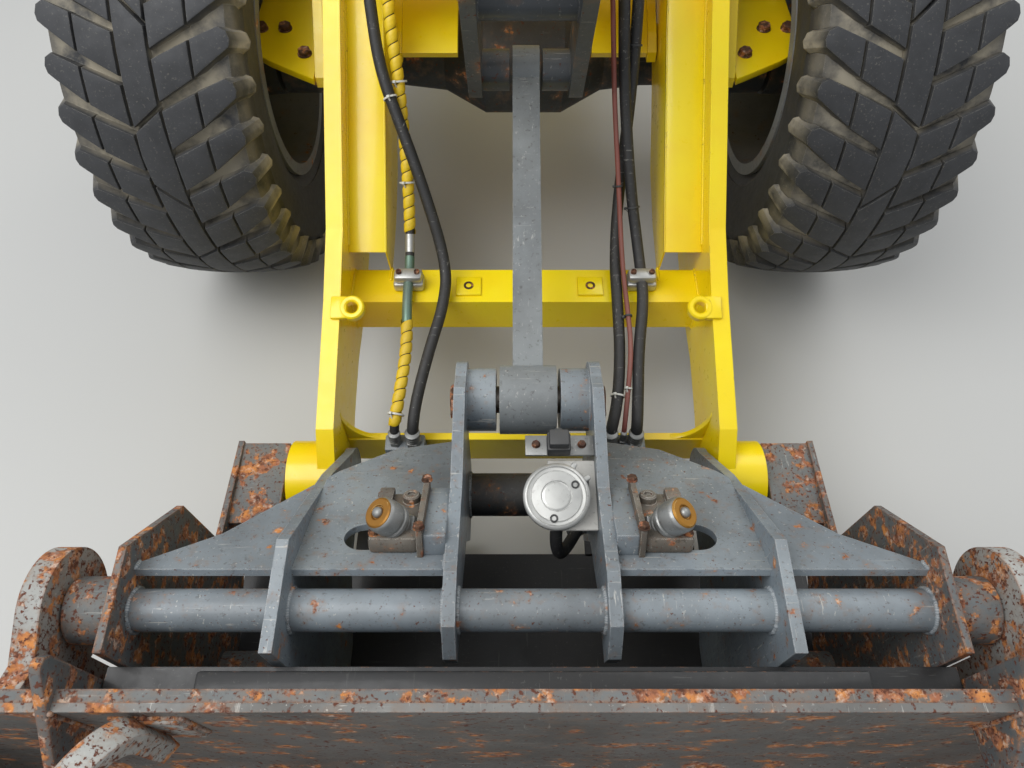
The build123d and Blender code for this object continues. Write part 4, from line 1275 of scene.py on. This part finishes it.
@dataclass
class ArmTrim:
    """Guards, eyes, gussets, patches and welds of the lift frame."""
    tools: Toolbox
    arm_inner: float = 465
    guard_inner: float = 365
    guard_sheet: float = 5
    eye_at: tuple[float, float] = (910, 574)
    eye_x: float = 434
    eye_lean: Point = (0, -0.324, 0.946)
    eye_height: float = 26
    gusset_ahead: float = 1139
    gusset_foot: float = 300
    gusset_lip: float = 15
    gusset_reach: float = 84
    gusset_rise: float = 119
    gusset_sheet: float = 14
    gusset_steps: int = 10

    def guards(self) -> None:
        """Bent covers over the lift cylinders, welded to each arm's inner face."""
        crest = [(-150, 1280), (264, 900), (720, 570)]
        under = [(700, 462), (540, 488), (389, 544), (256, 648), (105, 758), (-60, 885),
                 (-150, 985)]
        lower = [(a - 4, z - 6) for a, z in reversed(crest)]
        for side in Side:
            shape = Shape()
            shape.add(*side_plate(crest + under, self.guard_inner,
                                  self.guard_inner + self.guard_sheet, side))
            shape.add(*side_plate(crest + lower, self.guard_inner, self.arm_inner, side, 1))
            finished(shape.mesh("guard"), f"arm_guard_{side.label}", "lift_frame",
                     YELLOW_ENAMEL, 25)

    def gusset(self) -> list[tuple[float, float]]:
        """Outline of one gusset: a hollow quarter curve, closed at the arm and its foot."""
        turns = [k * math.pi / 2 / self.gusset_steps for k in range(self.gusset_steps + 1)]
        low = self.gusset_foot + self.gusset_lip
        curve = [(self.arm_inner - self.gusset_reach * (1 - math.sin(turn)),
                  low + self.gusset_rise * (1 - math.cos(turn))) for turn in turns]
        return curve + [(self.arm_inner, self.gusset_foot),
                        (self.arm_inner - self.gusset_reach, self.gusset_foot)]

    def eyes(self) -> None:
        """Lashing eyes on the arms, and gussets between arm and foot plate."""
        shape = Shape()
        lean = Vector(self.eye_lean)
        upright = Matrix(((1, 0, 0, 0), (0, 0, 1, AXLE_Y - self.gusset_ahead * MM),
                          (0, 1, 0, 0), (0, 0, 0, 1)))
        for side in Side:
            at = place(side.value * self.eye_x, *self.eye_at)
            shape.add(ring(31, 15, self.eye_height, 4),
                      aim(at - lean * self.eye_height / 2 * MM, lean))
            shape.add(box(40, 58, 22, 3), aim(at + Vector((side.value * 33 * MM, 0, 0)), lean))
            corners = [(x * side.value * MM, z * MM) for x, z in self.gusset()]
            shape.add(prism(corners, self.gusset_sheet * MM, 1.5 * MM), upright)
        finished(shape.mesh("eyes"), "lashing_eyes", "lift_frame", YELLOW_ENAMEL, 40)

    def patches(self) -> None:
        """Square pads on the box tube with a threaded, rusted bush in each."""
        pads, bushes = Shape(), Shape()
        for x in (-152, 176):
            pads.add(box(68, 62, 8, 2), spot(x, 765, 484))
            bushes.add(ring(13, 7.5, 4, 0.8, 24), spot(x, 765, 486.5))
        finished(pads.mesh("pads"), "box_tube_pads", "lift_frame", YELLOW_ENAMEL, 30)
        finished(bushes.mesh("bushes"), "box_tube_bushes", "lift_frame", RUSTED_BOLT, 40)

    def welds(self) -> None:
        """Beads where tubes, plates and guards meet the arms."""
        lines = []
        for side in Side:
            x = side.value * self.arm_inner
            lines += [[place(x, 704, 481), place(x, 816, 481)],
                      [place(x, 816, 481), place(x, 816, 369)],
                      [place(x, 1122, 315), place(x, 1122, 215)],
                      circle(x, 110, 1015, 76)]
            for face in (155, 180):
                lines.append(circle(side.value * face, 110, 1015, 76))
            guard = side.value * (self.guard_inner - 1)
            lines += [[place(guard, 700, 481), place(guard, 740, 481)],
                      [place(x, a, z) for a, z in ((-150, 1281), (264, 901), (704, 584))]]
        weld("frame_welds", "lift_frame", YELLOW_ENAMEL, lines, self.tools)
        weld("lever_welds", "lever", DARK_ENAMEL, [
            circle(side.value * 110, a, z, r) for side in Side
            for a, z, r in ((495, 1130, 43), (566, 1289, 61))], self.tools, 3.5)

    def build(self) -> None:
        """Make every piece."""
        self.guards()
        self.eyes()
        self.patches()
        self.welds()


# Hitch

@dataclass
class Coupling:
    """Hydraulic quick coupling: hexagon, sleeve, release collar and sealed face."""
    foot: Vector
    axis: Vector
    scale: float = 1.14

    def build(self, label: str) -> None:
        """Make its metal parts, its brass face and its steel ball."""
        where = aim(self.foot, self.axis) @ Matrix.Scale(self.scale, 4)
        body = Shape()
        body.add(knob((0, -11), (24, -11), (26, -9), (26, 9), (24, 11), (0, 11), segments=6),
                 where)
        body.add(knob((0, 9), (20, 9), (20, 16), (18.5, 17), (18.5, 20), (20, 21), (20, 32),
                      (0, 32)), where)
        finished(body.mesh("body"), f"coupling_body_{label}", "hitch", ZINC, 35)
        collar = Shape()
        collar.add(knob((0, 28), (27, 28), (29.5, 31), (29.5, 37), (28, 39), (28, 42),
                        (29.5, 44), (29.5, 66), (27.5, 70), (25, 72), (22.5, 70), (22, 58),
                        (0, 58), segments=48), where)
        finished(collar.mesh("collar"), f"coupling_collar_{label}", "hitch", ZINC, 35)
        face = Shape()
        face.add(knob((0, 57), (22, 57), (25.5, 70), (25.5, 73), (23, 75), (13, 75), (11, 72),
                      (0, 72)), where)
        finished(face.mesh("face"), f"coupling_face_{label}", "hitch", BRASS, 35)
        ball = Shape()
        ball.add(knob((0, 68), (8, 70), (9.5, 74), (8, 78), (4.5, 80.4), (0, 81), segments=24),
                 where)
        finished(ball.mesh("ball"), f"coupling_ball_{label}", "hitch", ZINC, 50)


@dataclass
class HitchFittings:
    """What is bolted on the quick hitch: blocks, couplings, socket, connector and pin heads."""
    tools: Toolbox
    slope: float = 31.6
    crest: tuple[float, float] = (1640, 752)

    def web(self, side: Side) -> Matrix:
        """Matrix of the web's upper face: across, down the slope, and out of it."""
        low = math.radians(self.slope)
        return Matrix.Translation(place(0, *self.crest)) @ Matrix((
            (side.value, 0, 0, 0), (0, math.cos(low), math.sin(low), 0),
            (0, -math.sin(low), math.cos(low), 0), (0, 0, 0, 1)))

    def on_web(self, side: Side, x: float, down: float, out: float) -> Matrix:
        """Matrix of a place on the web, in millimetres."""
        return self.web(side) @ Matrix.Translation((x * MM, down * MM, out * MM))

    def blocks(self, screws: Fasteners) -> None:
        """Feed box against the ear, its flange and the corroded valve block with its plugs."""
        grey, rusty = Shape(), Shape()
        for side in Side:
            grey.add(box(43, 158, 46, 4), self.on_web(side, 177.5, 118, 22))
            rusty.add(box(12, 172, 64, 3), self.on_web(side, 204, 118, 31))
            rusty.add(box(92, 150, 36, 9), self.on_web(side, 255, 118, 17))
            rusty.add(knob((0, 0), (17, 0), (17, 14), (14, 17), (8, 17), (7, 11), (0, 11)),
                      self.on_web(side, 232, 165, 34))
            rusty.add(box(30, 40, 16, 4), self.on_web(side, 282, 172, 41))
            normal = self.web(side).to_3x3() @ Vector((0, 0, 1))
            for x, down, out in ((204, 40, 62), (204, 196, 62), (290, 60, 34), (290, 180, 34)):
                where = self.on_web(side, x, down, out).to_translation()
                screws.put(where, tuple(normal), 0.75)
        finished(grey.mesh("feed"), "feed_boxes", "hitch", GREY_ENAMEL, 30)
        finished(rusty.mesh("valve"), "valve_blocks", "hitch", CORRODED_ZINC, 30)

    def couplings(self) -> None:
        """One coupling on each valve block, leaning outwards."""
        for side in Side:
            foot = place(side.value * 235, 1549, 722)
            cap = place(side.value * 283, 1548, 800)
            Coupling(foot, cap - foot).build(side.label)

    def socket(self, screws: Fasteners) -> None:
        """Round socket with its hinged cap on a white seat, and its cable to the low tube."""
        seat = Shape()
        seat.add(box(96, 150, 7, 2), spot(85, 1466, 687))
        seat.add(box(96, 7, 40, 2), spot(85, 1394, 669))
        finished(seat.mesh("seat"), "socket_seat", "hitch", WHITE_POWDER, 30)
        lean = Matrix.Rotation(math.radians(14), 4, "X")
        where = spot(51, 1478, 689) @ lean
        cap, body = Shape(), Shape()
        body.add(knob((0, 0), (60, 0), (60, 6), (54, 8), (54, 30), (0, 30)), where)
        body.add(box(26, 40, 22, 4), where @ Matrix.Translation((0.052, 0.02, 0.018)))
        cap.add(knob((0, 28), (60, 28), (64, 31), (65, 35), (65, 44), (62.5, 47), (58, 48.5),
                     (56, 46), (50, 45.5), (48.5, 47.5), (30, 48.5), (28.5, 47), (26, 48.4),
                     (24, 48.6), (0, 48.7), segments=72), where)
        for angle in (0.55, 1.05):
            arm = Matrix.Rotation(angle, 4, "Z") @ Matrix.Translation((0.064, 0, 0.034))
            cap.add(box(26, 11, 13, 3), where @ arm)
        finished(body.mesh("body"), "socket_body", "hitch", BLACK_NYLON, 40)
        finished(cap.mesh("cap"), "socket_cap", "hitch", CAST_ALUMINIUM, 35)
        normal = tuple(where.to_3x3() @ Vector((0, 0, 1)))
        for x, y in ((36, 22), (-6, -43)):
            screws.put(where @ Vector((x * MM, y * MM, 0.0415)), normal, 0.66)
        Hose("socket_cable", 13, HOSE_RUBBER, (
            (56, 1486, 684), (56, 1500, 640), (54, 1530, 592), (64, 1540, 545),
            (88, 1500, 500), (112, 1450, 470), (131, 1440, 468)), "hitch").build()

    def connector(self, screws: Fasteners) -> None:
        """Square plug connector behind the socket, on its light flange plate."""
        flange, plug = Shape(), Shape()
        flange.add(box(141, 46, 7, 2), spot(62.5, 1361, 697))
        finished(flange.mesh("flange"), "connector_flange", "hitch", ZINC, 30)
        plug.add(box(48, 43, 30, 5), spot(59.5, 1366, 714))
        plug.add(box(40, 36, 20, 4), spot(59.5, 1366, 736))
        plug.add(box(14, 8, 26, 2), spot(59.5, 1344, 722))
        finished(plug.mesh("plug"), "connector_plug", "hitch", BLACK_NYLON, 40)
        for x in (14, 108):
            screws.put(place(x, 1360, 700), (0, 0, 1), 0.6)

    def pin_heads(self) -> None:
        """Heads of the link pin and the hinge pins with their keeper bars."""
        heads = Shape()
        for side in Side:
            out = Vector((side.value, 0, 0))
            heads.add(knob((0, 0), (34, 0), (34, 10), (30, 14), (12, 14), (10, 9), (0, 9)),
                      aim(place(side.value * 157, 1210, 630), out))
            heads.add(box(8, 64, 18, 2), spot(side.value * 163, 1242, 666))
        finished(heads.mesh("heads"), "link_pin_heads", "hitch", RUSTED_BOLT, 40)

    def welds(self) -> None:
        """Beads round the main tube, and along the ears and the web."""
        lines = []
        for side in Side:
            for x in (132, 158, 431, 455, 713, 729):
                lines.append(circle(side.value * x, 1700, 705, 39))
            for x in (158, 713):
                end = 450 if x == 158 else 20
                lines.append([self.on_web(side, x, 2, 1).to_translation(),
                              self.on_web(side, x, end, 1).to_translation()])
            for x in (132, 158, 431):
                lines.append(circle(side.value * x, 1350, 430, 51))
        weld("hitch_welds", "hitch", GREY_ENAMEL, lines, self.tools, 4.5)

    def build(self) -> None:
        """Make every piece."""
        screws = Fasteners("hitch_screws", "hitch", RUSTED_BOLT, "worn_steel", self.tools)
        caps = Fasteners("socket_screws", "hitch", BLACK_NYLON, "black_paint", self.tools, True)
        self.blocks(screws)
        self.couplings()
        self.socket(caps)
        self.connector(screws)
        self.pin_heads()
        self.welds()
        screws.build()
        caps.build()


# Bucket

@dataclass
class BucketTrim:
    """Rail, lifting hook, hook plates and welds of the bucket."""
    tools: Toolbox
    hook_at: Point = (-660, 1975, 800)
    hook_askew: float = 54
    hook_radius: float = 85
    hook_bore: float = 48

    def rail(self) -> None:
        """Bent rail along the bucket's back, with stiffeners to the top bar."""
        shape = Shape()
        shape.add(box(1100, 58, 82, 6), spot(0, 1851, 750))
        for x in (-470, -235, 0, 235, 470):
            shape.add(box(12, 22, 40, 1.5), spot(x, 1869, 806))
        finished(shape.mesh("rail"), "bucket_rail", "hitch", BLACK_ENAMEL_AND_PAINTED_SHADE, 30)

    def hook(self) -> None:
        """Flame-cut lifting hook that stands askew on a doubler plate on the inner face."""
        bend = [math.radians(a) for a in range(-50, 181, 10)]
        outer = [(self.hook_radius * math.cos(a), self.hook_radius * math.sin(a)) for a in bend]
        inner = [(self.hook_bore * math.cos(a), self.hook_bore * math.sin(a))
                 for a in reversed(bend)]
        shank = [(-self.hook_radius, -120), (-self.hook_bore, -120)]
        metres = [(x * MM, z * MM) for x, z in outer + shank + inner]
        askew = math.radians(self.hook_askew)
        along = Vector((-math.cos(askew), -math.sin(askew), 0))
        across = along.cross(Vector((0, 0, 1)))
        where = Matrix.Translation(place(*self.hook_at) - across * 23 * MM) @ Matrix((
            (along.x, 0, across.x, 0), (along.y, 0, across.y, 0), (0, 1, 0, 0), (0, 0, 0, 1)))
        shape = Shape()
        shape.add(prism(metres, 46 * MM, 4 * MM), where)
        shape.add(box(110, 12, 140, 3), spot(-610, 1899, 730))
        finished(shape.mesh("hook"), "lifting_hook", "hitch", HOOK_ENAMEL, 40)

    def plates(self) -> None:
        """Hook plates that reach over the bucket's top edge on both sides."""
        outline = [(1818, 700), (1818, 880), (1826, 896), (1840, 900), (1852, 892), (1960, 782),
                   (1990, 742), (1990, 712), (1975, 696), (1894, 690)]
        shape = Shape()
        for side in Side:
            shape.add(*side_plate(outline, 741, 760, side, 2.5))
        finished(shape.mesh("plates"), "hook_plates", "hitch", RUSTED_ENAMEL, 30)

    def adapter(self) -> None:
        """Painted shade under the hitch: a black back plate and pan between the hook plates,
        folded from one sheet.
        """
        outline = [(1385, 112), (1385, 124), (1799, 124), (1799, 709), (1880, 709), (1880, 697),
                   (1811, 697), (1811, 112)]
        shape = Shape()
        shape.add(*side_plate(outline, -736, 736, Side.LEFT, 0))
        for side in Side:
            shape.add(*side_plate([(1300, 112), (1300, 124), (1390, 124), (1390, 112)],
                                  160, 452, side, 0))
        # This black sheet stands where there is only shade under the hitch, so its black is
        # painted shade.
        finished(shape.mesh("adapter"), "adapter_plate", "hitch", BLACK_ENAMEL_AND_PAINTED_SHADE, 30)

    def welds(self) -> None:
        """Beads along the top bar and round the hook's doubler."""
        lines = [[place(-1160, 1880, 811), place(1160, 1880, 811)],
                 [place(-666, 1896, 660), place(-666, 1896, 801), place(-554, 1896, 801),
                  place(-554, 1896, 660)]]
        for side in Side:
            for face in (740, 761):
                lines.append([place(side.value * face, 1896, 700),
                              place(side.value * face, 1896, 840)])
        weld("bucket_welds", "hitch", HOOK_ENAMEL, lines, self.tools, 4.5)

    def build(self) -> None:
        """Make every piece."""
        self.rail()
        self.hook()
        self.plates()
        self.adapter()
        self.welds()


# Wheels and axle

@dataclass
class WheelTrim:
    """Stud nuts of each wheel, and the plates and bolts on the axle seats."""
    tools: Toolbox
    studs: int = 10
    stud_circle: float = 142
    flange_face: float = 924
    bracket_top: float = 805
    bracket_sheet: float = 20
    bolt_size: float = 1.3
    bracket: tuple[tuple[float, float], ...] = (
        (562, -150), (562, 322), (600, 300), (690, 246), (740, 208), (760, 180), (760, -150))
    bolt_places: tuple[tuple[float, float], ...] = (
        (671, 100), (738, 100), (671, -70), (738, -70), (600, 215))

    def build(self) -> None:
        """Stand the nuts on each hub's flange and the bolts on the axle seats."""
        for side in Side:
            nuts = Fasteners(f"wheel_nuts_{side.label}", f"wheel_{side.label}", RUSTED_BOLT,
                             "bare_steel", self.tools)
            for k in range(self.studs):
                turn = 2 * math.pi * k / self.studs
                nuts.put(place(side.value * self.flange_face,
                               self.stud_circle * math.cos(turn),
                               AXLE_Z / MM + self.stud_circle * math.sin(turn)),
                         (side.value, 0, 0), 1.0)
            nuts.build()
        bolts = Fasteners("seat_bolts", "front_frame", RUSTED_BOLT, "bare_steel", self.tools)
        plates = Shape()
        for side in Side:
            corners = [(x * side.value * MM, AXLE_Y - a * MM) for x, a in self.bracket]
            plates.add(prism(corners, self.bracket_sheet * MM, 2 * MM),
                       Matrix.Translation((0, 0, (self.bracket_top - self.bracket_sheet) * MM)))
            for across, ahead in self.bolt_places:
                bolts.put(place(side.value * across, ahead, self.bracket_top), (0, 0, 1),
                          self.bolt_size)
        finished(plates.mesh("brackets"), "seat_brackets", "front_frame", YELLOW_ENAMEL, 30)
        bolts.build()


# Dress of the CAD nodes

NODE_FINISHES = {
    YELLOW_ENAMEL: ("frame_side_plates", "frame_cross_plates", "axle_seats", "hinge_plates",
                    "tilt_base_lugs", "lift_arm_left", "lift_arm_right", "box_cross_tube",
                    "upper_cross_tube", "rocker_brackets", "foot_cross_plate"),
    GREY_ENAMEL: ("hitch_ears", "hitch_tube", "hitch_inner_plates", "hitch_web"),
    RUSTED_ENAMEL: ("hitch_outer_plates", "hitch_collars", "pin_carriers", "lock_housings",
                    "bucket_top_bar"),
    HOOK_ENAMEL: ("bucket_hooks",),
    DARK_ENAMEL: ("tilt_lever", "tilt_barrel", "lift_barrel_left", "lift_barrel_right"),
    LINK_ENAMEL: ("tilt_link",),
    BLACK_CASTING: ("axle_housing", "hub_left", "hub_right", "hitch_low_tube"),
    RIM_ENAMEL: ("rim_left", "rim_right"),
    BUCKET_PLATE: ("bucket_shell", "bucket_sides", "bucket_edge"),
    PIN_STEEL: ("frame_pins", "lever_pin", "hitch_pins", "lock_pins"),
    CHROME: ("tilt_rod", "lift_rod_left", "lift_rod_right"),
}


def dress_nodes(nodes: dict[str, bpy.types.Object]) -> None:
    """Give every CAD node its finish.

    Args:
        nodes: The frame's nodes by name.
    """
    for finish, names in NODE_FINISHES.items():
        for name in names:
            mesh = nodes[name].data
            mesh.materials.clear()
            mesh.materials.append(PAINT.get(finish))
            LOG.info("%s: %s", name, finish.name)


# Studio

@dataclass
class Studio:
    """Pale floor, soft overhead light and the camera above the bucket."""
    floor_colour: str = "#C9C9C6"
    camera_place: Point = (-0.035, -1.4055, 2.10)
    camera_tilt: float = 32.3
    focal_length: float = 27.07
    sky: float = 0.55

    def floor(self) -> None:
        """Wide level floor in matt paint."""
        form = bmesh.new()
        bmesh.ops.create_grid(form, x_segments=1, y_segments=1, size=30)
        mesh = bpy.data.meshes.new("floor")
        form.to_mesh(mesh)
        form.free()
        floor = bpy.data.objects.new("floor", mesh)
        floor.location.z = -0.0005
        bpy.context.scene.collection.objects.link(floor)
        material = bpy.data.materials.new("matt_floor_paint")
        material.use_nodes = True
        shader = material.node_tree.nodes["Principled BSDF"]
        shader.inputs["Base Color"].default_value = linear(self.floor_colour)
        shader.inputs["Roughness"].default_value = 0.9
        mesh.materials.append(material)

    def lamp(self, name: str, where: Point, size: float, power: float) -> None:
        """Square area lamp that looks at the middle of the machine."""
        data = bpy.data.lights.new(name, "AREA")
        data.size = size
        data.energy = power
        lamp = bpy.data.objects.new(name, data)
        lamp.location = where
        lamp.rotation_euler = (Vector(where) - Vector((0, 0, 0.5))).to_track_quat(
            "Z", "Y").to_euler()
        bpy.context.scene.collection.objects.link(lamp)

    def world(self) -> None:
        """Even grey sky."""
        world = bpy.data.worlds.new("sky")
        world.use_nodes = True
        world.node_tree.nodes["Background"].inputs["Color"].default_value = (0.93, 0.96, 1, 1)
        world.node_tree.nodes["Background"].inputs["Strength"].default_value = self.sky
        bpy.context.scene.world = world

    def camera(self) -> None:
        """Camera at the photograph's place and angle."""
        data = bpy.data.cameras.new("camera")
        data.lens = self.focal_length
        data.sensor_fit = "HORIZONTAL"
        data.clip_end = 100
        camera = bpy.data.objects.new("camera", data)
        camera.location = self.camera_place
        camera.rotation_euler = (math.radians(self.camera_tilt), 0, 0)
        bpy.context.scene.collection.objects.link(camera)
        bpy.context.scene.camera = camera

    def build(self) -> None:
        """Set up the studio."""
        self.floor()
        self.lamp("key", (-2.4, -1.2, 5.2), 4.0, 215)
        self.lamp("fill", (3.2, 2.4, 4.6), 4.0, 80)
        self.world()
        self.camera()
        bpy.context.scene.view_settings.view_transform = "Standard"


def main() -> None:
    """Load the frame and build each sub-assembly in order."""
    logging.basicConfig(level=logging.INFO, format="%(name)s: %(message)s")
    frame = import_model()
    dress_nodes(frame["nodes"])
    tools = Toolbox()
    for side in (1, -1):
        Tyre(side, tools).build()
    for group in (WheelTrim(tools), HoseRun(tools), ArmTrim(tools), HitchFittings(tools),
                  BucketTrim(tools)):
        group.build()
    Studio().build()


if __name__ == "__main__":
    main()
